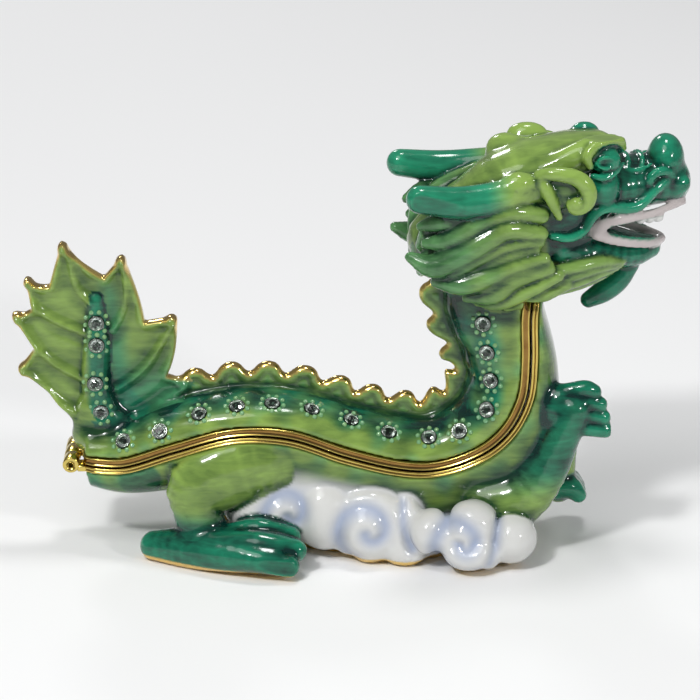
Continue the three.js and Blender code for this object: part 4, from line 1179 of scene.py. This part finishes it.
def rim_mesh(name, low, high, profile, material):
    """A band round the whole seam: profile is (inward from its outer face, share of its height)."""
    corner = 1.3
    outline = []
    count = 150
    runs = np.linspace(corner, SEAM_LENGTH - corner, count)
    half = seam_size(runs, HALF)
    for run, width in zip(runs, half):
        outline.append((run, -width, 0, -1))
    for angle in np.linspace(0, math.pi / 2, 6)[1:]:
        width = seam_size(SEAM_LENGTH, HALF)
        s, c = math.sin(angle), math.cos(angle)
        outline.append((SEAM_LENGTH - corner + corner * s, -width + corner - corner * c, s, -c))
    end = outline[-1]
    across = np.linspace(end[1], -end[1], 14)[1:-1]
    outline += [(end[0], y, 1, 0) for y in across]
    outline += [(run, -y, a, -b) for run, y, a, b in outline[count - 1:count + 5][::-1]]
    outline += [(run, width, 0, 1) for run, width in zip(runs[::-1], half[::-1])][1:]
    for angle in np.linspace(0, math.pi / 2, 6)[1:]:
        width = seam_size(0, HALF)
        s, c = math.sin(angle), math.cos(angle)
        outline.append((corner - corner * s, width - corner + corner * c, -s, c))
    end = outline[-1]
    outline += [(end[0], y, -1, 0) for y in np.linspace(end[1], -end[1], 12)[1:-1]]
    for angle in np.linspace(math.pi / 2, 0, 6)[:-1]:
        s, c = math.sin(angle), math.cos(angle)
        outline.append((corner - corner * s, -width + corner - corner * c, -s, -c))
    run, y, away, side = np.array(outline).T
    rows = []
    for inward, share in profile:
        out = RIM_PROUD - inward
        rows.append(on_seam(run + away * out, y + side * out, low + (high - low) * share))
    points = np.concatenate(rows)
    n, m = len(outline), len(profile)
    faces = [
        (i * n + j, i * n + (j + 1) % n, (i + 1) % m * n + (j + 1) % n, (i + 1) % m * n + j)
        for i in range(m) for j in range(n)
    ]
    obj = mesh_object(name, points, faces, material)
    # Rows set into the band's face get the darker gold, a painted dark reflection in its grooves; the back
    # face is painted part way darker.
    shade = [0.75 * smooth_step(0.1, 0.2, inward) if inward < 1 else 0.4 for inward, share in profile]
    paint(obj, shade=np.repeat(shade, n))
    return obj


LID_RIM_PROFILE = [
    (0.3, 0.0), (0.08, 0.04), (0.0, 0.1), (0.03, 0.17), (0.2, 0.24), (0.26, 0.5), (0.2, 0.76), (0.03, 0.83),
    (0.0, 0.9), (0.08, 0.96), (0.3, 1.0), (1.75, 1.0), (1.88, 0.92), (1.9, 0.5), (1.88, 0.08), (1.75, 0.0),
]
BASE_RIM_PROFILE = [
    (0.25, 0.0), (0.06, 0.06), (0.0, 0.2), (0.04, 0.34), (0.22, 0.42), (0.24, 0.5), (0.1, 0.58), (0.0, 0.72),
    (0.05, 0.92), (0.25, 1.0), (1.75, 1.0), (1.88, 0.92), (1.9, 0.5), (1.88, 0.08), (1.75, 0.0),
]


def barrel(bm, y_low, y_high, radius, bore=0.0, sides=32, edge=0.18):
    """A hinge knuckle along Y with rounded ends, solid or with a bore, in millimetres."""
    profile = [(radius - edge, y_low), (radius - edge * 0.3, y_low + edge * 0.3), (radius, y_low + edge),
               (radius, y_high - edge), (radius - edge * 0.3, y_high - edge * 0.3), (radius - edge, y_high)]
    if bore:
        profile += [(bore, y_high), (bore, y_low)]
    else:
        profile += [(0.0, y_high), (0.0, y_low)]
    rings = []
    for size, y in profile:
        if size == 0.0:
            rings.append([bm.verts.new((HINGE_X * MM, y * MM, HINGE_Z * MM))])
            continue
        rings.append([
            bm.verts.new((
                (HINGE_X + size * math.cos(2 * math.pi * i / sides)) * MM, y * MM,
                (HINGE_Z + size * math.sin(2 * math.pi * i / sides)) * MM,
            ))
            for i in range(sides)
        ])
    pairs = list(zip(rings, rings[1:])) + ([(rings[-1], rings[0])] if bore else [])
    for a, b in pairs:
        for i in range(sides):
            j = (i + 1) % sides
            if len(a) == 1 and len(b) == 1:
                continue
            corners = [a[i % len(a)], a[j % len(a)], b[j % len(b)], b[i % len(b)]]
            unique = list(dict.fromkeys(corners))
            bm.faces.new(unique)


def add_block(bm, low, high, bevel):
    made = bmesh.ops.create_cube(bm, size=1.0)
    size = [(b - a) * MM for a, b in zip(low, high)]
    middle = [(a + b) / 2 * MM for a, b in zip(low, high)]
    bmesh.ops.scale(bm, vec=size, verts=made["verts"])
    bmesh.ops.translate(bm, vec=middle, verts=made["verts"])
    edges = list({edge for vert in made["verts"] for edge in vert.link_edges})
    bmesh.ops.bevel(bm, geom=edges, offset=bevel * MM, segments=2, affect="EDGES", profile=0.5)


def with_knuckles(obj, spans, lug_low, lug_high):
    bm = bmesh.new()
    bm.from_mesh(obj.data)
    for y_low, y_high in spans:
        barrel(bm, y_low, y_high, BARREL_RADIUS, PIN_RADIUS + PIN_CLEARANCE)
        lug_x = HINGE_X + BARREL_RADIUS - 0.3
        add_block(bm, (lug_x, y_low + 0.05, lug_low), (SEAM[0][0] + 0.3, y_high - 0.05, lug_high), 0.15)
    bmesh.ops.recalc_face_normals(bm, faces=bm.faces)
    bm.to_mesh(obj.data)
    bm.free()
    obj.data.shade_smooth()


# Operators, one for each piece or group of like pieces

class DRAGON_OT_finishes(bpy.types.Operator):
    """Make the shader groups and the finishes that the pieces share"""
    bl_idname = "dragon_box.finishes"
    bl_label = "Finishes"

    def execute(self, context):
        colors = context.scene.dragon_box_colors
        drift_group()
        enamel_group()
        enamel_material("lid enamel", colors)
        enamel_material("base enamel", colors)
        gold_material("gold plating", tuple(colors.gold), 0.12, tuple(colors.gold_shade))
        gold_material("stone cups", (0.96, 1.0, 0.92, 1), 0.1, (0.02, 0.035, 0.025, 1), size=1500.0)
        crystal_material()
        dot_material(colors)
        return {"FINISHED"}


class DRAGON_OT_lid(bpy.types.Operator):
    """Sculpt and paint the lid casting: back, crest, tail leaf, neck and head"""
    bl_idname = "dragon_box.lid"
    bl_label = "Lid casting"

    def execute(self, context):
        low, high = (np.array(v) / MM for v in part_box("lid"))
        sculpt = Sculpt(low - 2, high + 2)
        x, y, z = sculpt.everywhere()
        place = seam_place(x, z)
        shell = arch_distance(y, place.height - LID_FLOOR, place.half, place.rise - LID_FLOOR)
        shell = blend_max(shell, place.over, 1.6)
        shell = np.maximum(shell, LID_FLOOR - place.height)
        sculpt.depth = np.minimum(sculpt.depth, shell).astype(np.float32)
        crest = plate_form(CREST_OUTLINE, crest_thickness, 1.6, 3.5)
        leaf = plate_form(LEAF_OUTLINE, leaf_thickness, 0.9, 4)
        stalk = limb(STALK, STALK_RADII, steps=16)
        sculpt.add(stalk, 1.2)
        sculpt.add(limb([(-44.3, 0, 19.2), (-44.2, 0, 23.5)], [3.3, 2.6]), 1.6)
        sculpt.add(leaf, 0.7)
        sculpt.add(crest, 0.7)
        head = head_forms()
        for forms in head.values():
            for form, soft in forms:
                sculpt.add(form, soft)
            if forms is head["jaw"]:
                for mouth in head_pair(MOUTH, MOUTH_RADII, 16):
                    sculpt.take(mouth, 0.4)
        hollow_out(sculpt, y, place, (place.rise - WALL, 1))
        sculpt.take(head_hollow(), 0.4)
        cut_seam_room(sculpt, x, y, place, True)
        for sideways in (-1, 1):
            for point, facing in stone_places(sideways):
                pocket = [point - facing * 0.4, point + facing * 1.6]
                sculpt.take(limb(pocket, [1.0, 1.0], side=(1, 0, 0)), 0.2)
        points, quads = largest_part(*sculpt.surface())
        points = np.clip(points, low, high)
        obj = quad_object("dragon_lid", points, quads)
        paint(obj, **lid_masks(points, quads, head, leaf, stalk))
        obj.data.materials.append(bpy.data.materials["lid enamel"])
        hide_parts("lid")
        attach(obj, "lid_body")
        return {"FINISHED"}


def lid_masks(points, quads, head, leaf, stalk):
    """Where each enamel colour and bare gold lies on the lid."""
    x, y, z = points.T
    normals = point_normals(points, quads)
    upward = normals[:, 2]
    hollow = hollowness(points, quads, normals, FINE_ROUNDS)
    wide = hollowness(points, quads, normals, WIDE_ROUNDS)
    place = seam_place(x, z)
    near = {name: nearest_of(forms, points) for name, forms in head.items()}
    head_all = np.minimum.reduce(list(near.values()))
    edge, leaf_tip = leaf_edge(x, z)
    on_leaf = (np.abs(y) < 3.2) & (edge < 0.5) & (x < -26) & (z > 22.5)
    from_stalk = nearest_of([(stalk, 0)], points)
    on_leaf = on_leaf & (from_stalk > 0.35)
    top = outline_distance(x, z, CREST_OUTLINE)
    top_line = nearest_on(np.stack([x, z], axis=1), CREST_TOP)[1]
    share = np.clip((place.height - LID_FLOOR) / (place.rise - LID_FLOOR), 0, 1.4)
    on_crest = (np.abs(y) < 2.0) & (top < 0.5) & (share > 0.85) & (head_all > 0.3)

    light = 0.48 - 0.3 * smooth_step(0.25, 0.95, share) + 0.04 * smooth_step(0.3, 0.0, share)
    teal = 0.85 * smooth_step(0.4, 0.95, share) * smooth_step(-46, -38, x)
    neck = smooth_step(8, 16, x) * smooth_step(19, 27, z)
    teal = np.maximum(teal, 0.9 * neck * smooth_step(0.12, 0.45, share))
    light = light - 0.12 * neck * smooth_step(0.2, 0.5, share) - 0.2 * smooth_step(4, 1, head_all)
    light = light + 0.2 * mottle(points)
    teal = np.clip(teal + 0.3 * mottle(points + 40.0) - 0.04, 0, 1)
    light = np.where(on_crest, 0.36, light)
    teal = np.where(on_crest, 0.1 + 0.5 * smooth_step(1.6, 3.4, top_line), teal)
    gilt = smooth_step(0.8, 0.5, top_line) * np.clip(0.5 + 0.8 * upward, 0, 1) * smooth_step(1.02, 1.1, share)
    gilt = np.where(on_crest, gilt, 0.0)

    # Darker towards each lobe's curled tip: painted shade inside the curl.
    leaf_light = 0.56 - 0.2 * smooth_step(3.4, 1.4, leaf_tip) + 0.1 * smooth_step(-45, -48, x)
    light = np.where(on_leaf, leaf_light, light)
    lower_right = smooth_step(-41, -37, x) * smooth_step(36, 27, z)
    by_stalk = smooth_step(4.0, 1.0, from_stalk) * smooth_step(-44, -40, x)
    teal = np.where(on_leaf, np.clip(0.75 * lower_right + 0.7 * by_stalk, 0, 0.95), teal)
    on_stalk = (from_stalk < 0.6) & (z > 21) & ~on_leaf
    light = np.where(on_stalk, 0.2 + 0.35 * smooth_step(-43.8, -45.2, x), light)
    teal = np.where(on_stalk, 0.95 * smooth_step(-45.0, -43.6, x), teal)
    upper = np.clip(0.35 + 0.8 * smooth_step(3.2, 1.2, leaf_tip) + 0.6 * upward, 0, 1)
    upper = smooth_step(-0.5, -0.1, edge) * upper
    upper = upper * np.where(x > -36, smooth_step(28.6, 29.5, z), 1)
    gilt = np.where(on_leaf, upper, gilt)

    c, s = math.cos(HEAD_YAW), math.sin(HEAD_YAW)
    hx = (x - HEAD_X) * c + y * s
    hy = -(x - HEAD_X) * s + y * c
    hz = z - HEAD_Z
    on_head_part = head_all < 0.5
    face_start = np.interp(hz, [5, 13, 14.5, 16, 19, 21, 24], [6.4, 5.8, 9, 11.8, 12.8, 12.8, 14])
    face = smooth_step(-0.4, 0.6, hx - face_start)
    jaw_line = np.interp(hx, [7, 9.6, 13, 16, 19.2, 21], [5.8, 5.0, 5.8, 5.7, 4.5, 1.0])
    face = face * smooth_step(-0.3, 0.4, hz - jaw_line)
    cheek = smooth_step(13, 11, hx) * smooth_step(15, 13.5, hz) * smooth_step(9.4, 10.2, hz)
    # The skull darkens towards the back, where it shows between the mane's locks: painted shade.
    head_light = 0.5 - 0.3 * face - 0.1 * cheek * face - 0.35 * smooth_step(-3, -8, hx)
    head_teal = face
    socket = np.hypot((hx - 15.9) / 3.3, (hz - 22.4) / 2.9) + 9.0 * (hy > -5)
    forehead = (near["brow"] < 0.8) & (hz > 16) & (socket > 1)
    head_light = np.where(forehead, 0.7 - 0.2 * smooth_step(2, -3, hx), head_light)
    head_teal = np.where(forehead, 0.0, head_teal)
    # The ear hollow's dark value is painted shade in the bowl of the ear.
    tinted = (("mane", 0.46, 0.06), ("ear hollow", 0.25, 0.1), ("ears", 0.66, 0.0), ("fringe", 0.5, 0.1),
              ("barbel", 0.15, 1.0), ("eyes", 0.42, 1.0), ("snout", 0.26, 1.0), ("lips", 0.4, 1.0))
    for name, shade, tint in tinted:
        part = smooth_step(0.5, 0.0, near[name])
        head_light = head_light + (shade - head_light) * part
        head_teal = head_teal + (tint - head_teal) * part
    tips = (near["mane"] < 0.25) * smooth_step(2, -12, hx + 2.0 * mottle(points))
    head_teal = np.maximum(head_teal, 0.5 * tips)
    head_light = head_light - 0.26 * tips + 0.07 * mottle(points + 20.0) * (near["mane"] < 0.25)
    on_horn = near["horns"] < 0.3
    head_teal = np.where(on_horn, 0.97 * smooth_step(0.5, -5, hx), head_teal)
    # Horns turn teal towards their tips, and are darker on their underside: painted shade.
    horn_light = 0.78 - 0.42 * smooth_step(0.5, -7, hx) - 0.2 * smooth_step(17.5, 15.5, hz)
    head_light = np.where(on_horn, horn_light, head_light)
    light = np.where(on_head_part, head_light, light)
    teal = np.where(on_head_part, head_teal, teal)
    gilt = np.where(on_head_part, 0, gilt)

    lip_forms = [(form, 0) for path in (UPPER_LIP, LOWER_LIP) for form in head_pair(path, [0.85] * len(path))]
    mouth = nearest_of([(form, 0) for form in head_pair(MOUTH, MOUTH_RADII, 16)], points)
    pink = smooth_step(0.4, 0.1, nearest_of(lip_forms, points)) * smooth_step(12.0, 13.5, hx)
    pink = pink * smooth_step(0.15, 0.5, mouth)
    # Painted shade inside the mouth.
    light = light - 0.2 * smooth_step(0.5, 0.2, mouth)
    white = smooth_step(0.3, 0.05, near["teeth"]) * on_head_part * (pink < 0.5)
    # Painted shade and highlight: darker in hollows and lighter on raised lines, less so on the leaf; the
    # lips' pink also fades in hollows.
    relief = np.where(on_leaf, 0.45, 1.0)
    light = light - relief * (np.clip(hollow * 4.2, -0.26, 0.7) + np.clip(wide * 0.45, -0.1, 0.35))
    pink = pink * (1 - np.clip(hollow * 2.0, 0, 0.6))
    blue = np.zeros(len(points))
    return {"light": light, "teal": teal, "gilt": gilt, "pink": pink, "white": white, "blue": blue}


class DRAGON_OT_base(bpy.types.Operator):
    """Sculpt and paint the base casting: belly, legs, throat and clouds"""
    bl_idname = "dragon_box.base"
    bl_label = "Base casting"

    def execute(self, context):
        low, high = (np.array(v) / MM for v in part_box("base"))
        sculpt = Sculpt(low - 2, high + 2)
        x, y, z = sculpt.everywhere()
        place = seam_place(x, z)
        shell = arch_distance(y, BASE_ROOF - place.height, place.half, place.depth + BASE_ROOF)
        shell = blend_max(shell, place.over, 1.6)
        sculpt.depth = np.minimum(sculpt.depth, shell).astype(np.float32)
        legs = [leg_forms(0, 1), leg_forms(HIND_FOOT_FORWARD, -1)]
        arms = arm_forms()
        clouds = cloud_forms()
        cloud_block = Sculpt(low - 2, high + 2)
        for form, soft in clouds:
            cloud_block.add(form, soft)
        flank = smooth_step(3.0, 5.0, np.abs(y))
        cloud_block.depth = (cloud_block.depth + 0.85 * flank * swirl_depth(x, z)).astype(np.float32)
        sculpt.depth = blend_min(sculpt.depth, cloud_block.depth, 0.8).astype(np.float32)
        for leg in legs:
            for form, soft in leg["thigh"] + leg["foot"]:
                sculpt.add(form, soft)
        for form, soft in arms["arms"] + arms["paws"]:
            sculpt.add(form, soft)
        floor = np.maximum(place.depth - WALL, BASE_RIM_HEIGHT + THROAT_WALL / 2)
        hollow_out(sculpt, y, place, (floor, -1))
        cut_seam_room(sculpt, x, y, place, False)
        sculpt.depth = np.maximum(sculpt.depth, -z + np.zeros_like(sculpt.depth)).astype(np.float32)
        points, quads = largest_part(*sculpt.surface())
        points = np.clip(points, low, high)
        obj = quad_object("dragon_base", points, quads)
        paint(obj, **base_masks(points, quads, legs, arms, clouds))
        obj.data.materials.append(bpy.data.materials["base enamel"])
        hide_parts("base")
        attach(obj, "base_body")
        return {"FINISHED"}


def base_masks(points, quads, legs, arms, clouds):
    """Where each enamel colour and bare gold lies on the base."""
    x, y, z = points.T
    normals = point_normals(points, quads)
    hollow = hollowness(points, quads, normals, FINE_ROUNDS)
    wide = hollowness(points, quads, normals, WIDE_ROUNDS)
    thigh = np.minimum.reduce([nearest_of(leg["thigh"], points) for leg in legs])
    foot = np.minimum.reduce([nearest_of(leg["foot"], points) for leg in legs])
    arm = nearest_of(arms["arms"], points)
    paw = nearest_of(arms["paws"], points)
    cloud = nearest_of(clouds, points)
    light = 0.4 - 0.12 * smooth_step(10, 22, x) + 0.16 * mottle(points)
    teal = np.clip(0.12 + 0.4 * smooth_step(-36, -41, x) + 0.3 * mottle(points + 40.0), 0, 1)

    def coat(near, soft, shade, tint):
        nonlocal light, teal
        part = smooth_step(soft, 0.5 * soft, near)
        light = light + (shade - light) * part
        teal = teal + (tint - teal) * part

    patch = np.sqrt((x + 35.8) ** 2 + (z - 13.2) ** 2) - 2.4
    coat(patch, 1.6, 0.05, 0.7)
    # The thigh turns to teal enamel towards the ankle; its darkening there is partly the teal and partly
    # painted shade along its lower edge.
    coat(thigh, 1.0, 0.52 - 0.34 * smooth_step(10, 6, z), smooth_step(10.5, 6.5, z))
    coat(foot, 1.1, 0.2, 1.0)
    high = smooth_step(11, 17, z)
    coat(arm, 1.1, 0.5 - 0.36 * high, 0.05 + 0.9 * high)
    coat(paw, 1.0, 0.22, 1.0)
    limbs = smooth_step(0.5, 0.9, np.minimum.reduce([foot, thigh, paw, arm]))
    white = smooth_step(0.7, 0.1, cloud)
    belly_top = np.interp(x, [-16, -8, 0, 8, 12], [14.5, 13.5, 11.5, 9.5, 8.0])
    belly = smooth_step(3.2, -0.8, z - belly_top) * smooth_step(-24, -20, x) * smooth_step(13, 9, x)
    white = np.maximum(white, belly) * limbs
    blue = swirl_depth(x, z) * smooth_step(3, 5, np.abs(y))
    blue = np.clip(blue * 0.75 + np.clip(hollow * 1.6, 0, 0.4), 0, 1)
    sole = smooth_step(1.35, 1.05, z)
    # Painted shade and highlight: darker in hollows and lighter on raised lines.
    light = light - np.clip(hollow * 4.2, -0.26, 0.7) - np.clip(wide * 0.45, -0.1, 0.35)
    pink = np.zeros(len(points))
    return {"light": light, "teal": teal, "gilt": sole, "pink": pink, "white": white, "blue": blue}


class DRAGON_OT_rims(bpy.types.Operator):
    """Make the two gold rims with the hinge's knuckles"""
    bl_idname = "dragon_box.rims"
    bl_label = "Gold rims"

    def execute(self, context):
        gold = bpy.data.materials["gold plating"]
        half_gap = SEAM_GAP / 2
        lid_rim = rim_mesh("gold_lid_rim", half_gap, half_gap + LID_RIM_HEIGHT, LID_RIM_PROFILE, gold)
        with_knuckles(
            lid_rim, [(-LID_KNUCKLE_LENGTH / 2, LID_KNUCKLE_LENGTH / 2)],
            HINGE_Z + half_gap, HINGE_Z + half_gap + LID_RIM_HEIGHT,
        )
        base_rim = rim_mesh("gold_base_rim", -half_gap - BASE_RIM_HEIGHT, -half_gap, BASE_RIM_PROFILE, gold)
        inner, outer = LID_KNUCKLE_LENGTH / 2 + KNUCKLE_GAP, BARREL_LENGTH / 2
        with_knuckles(
            base_rim, [(-outer, -inner), (inner, outer)],
            HINGE_Z - half_gap - BASE_RIM_HEIGHT, HINGE_Z - half_gap,
        )
        for obj, node, body in ((lid_rim, "lid_rim", "lid_body"), (base_rim, "base_rim", "base_body")):
            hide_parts(node)
            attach(obj, body)
        return {"FINISHED"}


class DRAGON_OT_pin(bpy.types.Operator):
    """Make the hinge pin"""
    bl_idname = "dragon_box.pin"
    bl_label = "Hinge pin"

    def execute(self, context):
        bm = bmesh.new()
        barrel(bm, -BARREL_LENGTH / 2, BARREL_LENGTH / 2, PIN_RADIUS, edge=0.12)
        bmesh.ops.recalc_face_normals(bm, faces=bm.faces)
        mesh = bpy.data.meshes.new("gold_hinge_pin")
        bm.to_mesh(mesh)
        bm.free()
        mesh.shade_smooth()
        mesh.materials.append(bpy.data.materials["gold plating"])
        obj = bpy.data.objects.new("gold_hinge_pin", mesh)
        context.scene.collection.objects.link(obj)
        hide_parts("hinge_pin")
        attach(obj, "base_body")
        return {"FINISHED"}


class DRAGON_OT_crystals(bpy.types.Operator):
    """Cut the crystals and set them along both sides of the back"""
    bl_idname = "dragon_box.crystals"
    bl_label = "Crystals"

    def execute(self, context):
        sizes = context.scene.dragon_box_sizes
        points, faces = brilliant(sizes.stone_radius / MM)
        for side, sideways in (("right", -1), ("left", 1)):
            for number, (point, facing) in enumerate(stone_places(sideways), 1):
                turn = turned(facing, 0.7 * number)
                placed = [np.array(turn @ Vector(p)) + point for p in points]
                obj = mesh_object(
                    f"crystal_{side}_{number:02d}", placed, faces, bpy.data.materials["clear crystal"],
                    smooth=False,
                )
                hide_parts(f"stone_{side}_{number:02d}")
                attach(obj, "lid_body")
        return {"FINISHED"}


class DRAGON_OT_settings(bpy.types.Operator):
    """Make each crystal's metal cup and its ring of raised enamel dots"""
    bl_idname = "dragon_box.settings"
    bl_label = "Stone settings"

    def execute(self, context):
        sizes = context.scene.dragon_box_sizes
        radius = sizes.stone_radius / MM
        cup_profile = [
            (radius + 0.3, -0.35), (radius + 0.26, 0.16), (radius + 0.12, 0.26), (radius + 0.04, 0.2),
            (radius + 0.03, 0.02), (radius * 0.62, -0.42), (0.12, -0.68),
        ]
        sides = 20
        cups = ([], [])
        dots = ([], [])
        unit = bmesh.new()
        bmesh.ops.create_icosphere(unit, subdivisions=2, radius=1.0)
        ball = [np.array(v.co) for v in unit.verts]
        ball_faces = [tuple(v.index for v in f.verts) for f in unit.faces]
        unit.free()
        for sideways in (-1, 1):
            for number, (point, facing) in enumerate(stone_places(sideways), 1):
                turn = turned(facing, 0.5 * number)
                start = len(cups[0])
                for size, height in cup_profile:
                    for i in range(sides):
                        angle = 2 * math.pi * i / sides
                        spot = turn @ Vector((size * math.cos(angle), size * math.sin(angle), height))
                        cups[0].append(np.array(spot) + point)
                for row in range(len(cup_profile) - 1):
                    for i in range(sides):
                        j = (i + 1) % sides
                        a = start + row * sides
                        cups[1].append((a + i, a + j, a + sides + j, a + sides + i))
                cups[1].append(tuple(start + (len(cup_profile) - 1) * sides + i for i in range(sides)))
                cups[1].append(tuple(start + sides - 1 - i for i in range(sides)))
                for i in range(sizes.dot_count):
                    angle = 2 * math.pi * i / sizes.dot_count
                    ring = sizes.dot_ring / MM
                    flat = turn @ Vector((ring * math.cos(angle), ring * math.sin(angle), 0))
                    spot = on_back(point + np.array(flat), number)
                    dot = sizes.dot_radius / MM
                    start = len(dots[0])
                    dots[0].extend(spot + v * dot for v in ball)
                    dots[1].extend(tuple(start + k for k in face) for face in ball_faces)
        cup = mesh_object("stone_cups", *cups, bpy.data.materials["stone cups"])
        rows = np.repeat([1.0, 0.9, 0.6, 0.2, 0.0, 0.0, 0.0], sides)
        paint(cup, shade=np.tile(rows, len(cups[0]) // len(rows)))
        beads = mesh_object("enamel_dots", *dots, bpy.data.materials["dot enamel"])
        for obj, finish in ((cup, "gold_rim"), (beads, "green_enamel")):
            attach(obj, "lid_body")
        return {"FINISHED"}


def on_back(point, number):
    """A point near the back, or near the stalk for its four stones, moved to the surface."""
    x, y, z = point
    sideways = 1 if y > 0 else -1
    if number <= len(STALK_STONES):
        stalk = catmull_rom(STALK, 60)
        girth = catmull_rom([(r,) for r in STALK_RADII], 60)[:, 0]
        gaps = np.hypot(stalk[:, 0] - x, stalk[:, 2] - z)
        index = gaps.argmin()
        reach = max(girth[index] ** 2 - gaps[index] ** 2, 1.0) ** 0.5
        return np.array([x, sideways * reach, z])
    place = seam_place(np.array([x]), np.array([z]))
    high = place.rise[0] - LID_FLOOR
    over = (place.height[0] - LID_FLOOR) / high
    across = abs(y) / place.half[0]
    power = 2 / ARCH_FULLNESS
    size = (max(over, 0) ** power + across**power) ** (1 / power)
    new_height = LID_FLOOR + max((place.height[0] - LID_FLOOR) / size, 0.45)
    return on_seam(place.run[0], y / size, new_height)


FLOOR_HALF = 2500
FLOOR_HEIGHT = -0.02
SENSOR_WIDTH = 36.0
PHOTO_WIDTH = 700
PIXELS_PER_MM = 6
CAMERA_DISTANCE = 0.55
CAMERA_HEIGHT = math.radians(20)
CAMERA_AIM = (-0.83, 0.0, 33.9)


class DRAGON_OT_stage(bpy.types.Operator):
    """Make the pale floor, the studio light and the camera"""
    bl_idname = "dragon_box.stage"
    bl_label = "Stage"

    def execute(self, context):
        signs = ((-1, -1), (1, -1), (1, 1), (-1, 1))
        corners = [(FLOOR_HALF * i, FLOOR_HALF * j, FLOOR_HEIGHT) for i, j in signs]
        floor = mesh_object("floor", corners, [(0, 1, 2, 3)])
        material = bpy.data.materials.new("pale floor")
        material.use_nodes = True
        shader = material.node_tree.nodes["Principled BSDF"]
        shader.inputs["Base Color"].default_value = (0.86, 0.86, 0.86, 1)
        shader.inputs["Roughness"].default_value = 0.9
        floor.data.materials.append(material)
        lights = [
            ("key light", (-0.28, -0.42, 0.55), 0.09, 2.3), ("fill light", (0.45, -0.4, 0.3), 0.07, 1.1),
            ("top light", (0.05, 0.1, 0.7), 0.14, 1.2), ("back light", (-0.2, 0.6, 0.4), 0.15, 0.7),
        ]
        target = Vector((0, 0, 0.03))
        for name, spot, size, power in lights:
            data = bpy.data.lights.new(name, "AREA")
            data.shape = "DISK"
            data.size = size
            data.energy = power
            lamp = bpy.data.objects.new(name, data)
            lamp.location = spot
            lamp.rotation_euler = (target - Vector(spot)).to_track_quat("-Z", "Y").to_euler()
            context.scene.collection.objects.link(lamp)
        sun = bpy.data.lights.new("soft daylight", "SUN")
        sun.energy = 0.7
        sun.angle = math.radians(30)
        lamp = bpy.data.objects.new("soft daylight", sun)
        lamp.rotation_euler = (math.radians(25), math.radians(-20), 0)
        context.scene.collection.objects.link(lamp)
        world = bpy.data.worlds.new("studio")
        world.use_nodes = True
        world.node_tree.nodes["Background"].inputs["Color"].default_value = (0.95, 0.97, 1.0, 1)
        world.node_tree.nodes["Background"].inputs["Strength"].default_value = 0.2
        context.scene.world = world
        camera = bpy.data.cameras.new("photo camera")
        camera.sensor_width = SENSOR_WIDTH
        camera.lens = SENSOR_WIDTH * CAMERA_DISTANCE / (PHOTO_WIDTH / PIXELS_PER_MM * MM)
        rig = bpy.data.objects.new("photo camera", camera)
        back = Vector((0, -math.cos(CAMERA_HEIGHT), math.sin(CAMERA_HEIGHT)))
        rig.location = Vector(CAMERA_AIM) * MM + CAMERA_DISTANCE * back
        rig.rotation_euler = (math.pi / 2 - CAMERA_HEIGHT, 0, 0)
        context.scene.collection.objects.link(rig)
        context.scene.camera = rig
        context.scene.view_settings.view_transform = "Standard"
        return {"FINISHED"}


class DRAGON_PT_box(bpy.types.Panel):
    """Sizes, colours and pieces of the dragon box"""
    bl_label = "Dragon box"
    bl_idname = "DRAGON_PT_box"
    bl_space_type = "VIEW_3D"
    bl_region_type = "UI"
    bl_category = "Dragon box"

    def draw(self, context):
        for settings in (context.scene.dragon_box_sizes, context.scene.dragon_box_colors):
            for name in settings.__annotations__:
                self.layout.prop(settings, name)
        for operator in PIECES:
            self.layout.operator(operator.bl_idname)


PIECES = [
    DRAGON_OT_finishes, DRAGON_OT_lid, DRAGON_OT_base, DRAGON_OT_rims, DRAGON_OT_pin, DRAGON_OT_crystals,
    DRAGON_OT_settings, DRAGON_OT_stage,
]
CLASSES = [DragonBoxColors, DragonBoxSizes, *PIECES, DRAGON_PT_box]


def register():
    for item in CLASSES:
        bpy.utils.register_class(item)
    bpy.types.Scene.dragon_box_colors = bpy.props.PointerProperty(type=DragonBoxColors)
    bpy.types.Scene.dragon_box_sizes = bpy.props.PointerProperty(type=DragonBoxSizes)


def unregister():
    del bpy.types.Scene.dragon_box_sizes
    del bpy.types.Scene.dragon_box_colors
    for item in reversed(CLASSES):
        bpy.utils.unregister_class(item)


def main():
    register()
    bpy.ops.dragon_box.finishes()
    bpy.ops.dragon_box.lid()
    bpy.ops.dragon_box.base()
    bpy.ops.dragon_box.rims()
    bpy.ops.dragon_box.pin()
    bpy.ops.dragon_box.crystals()
    bpy.ops.dragon_box.settings()
    bpy.ops.dragon_box.stage()
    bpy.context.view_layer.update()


if __name__ == "__main__":
    main()
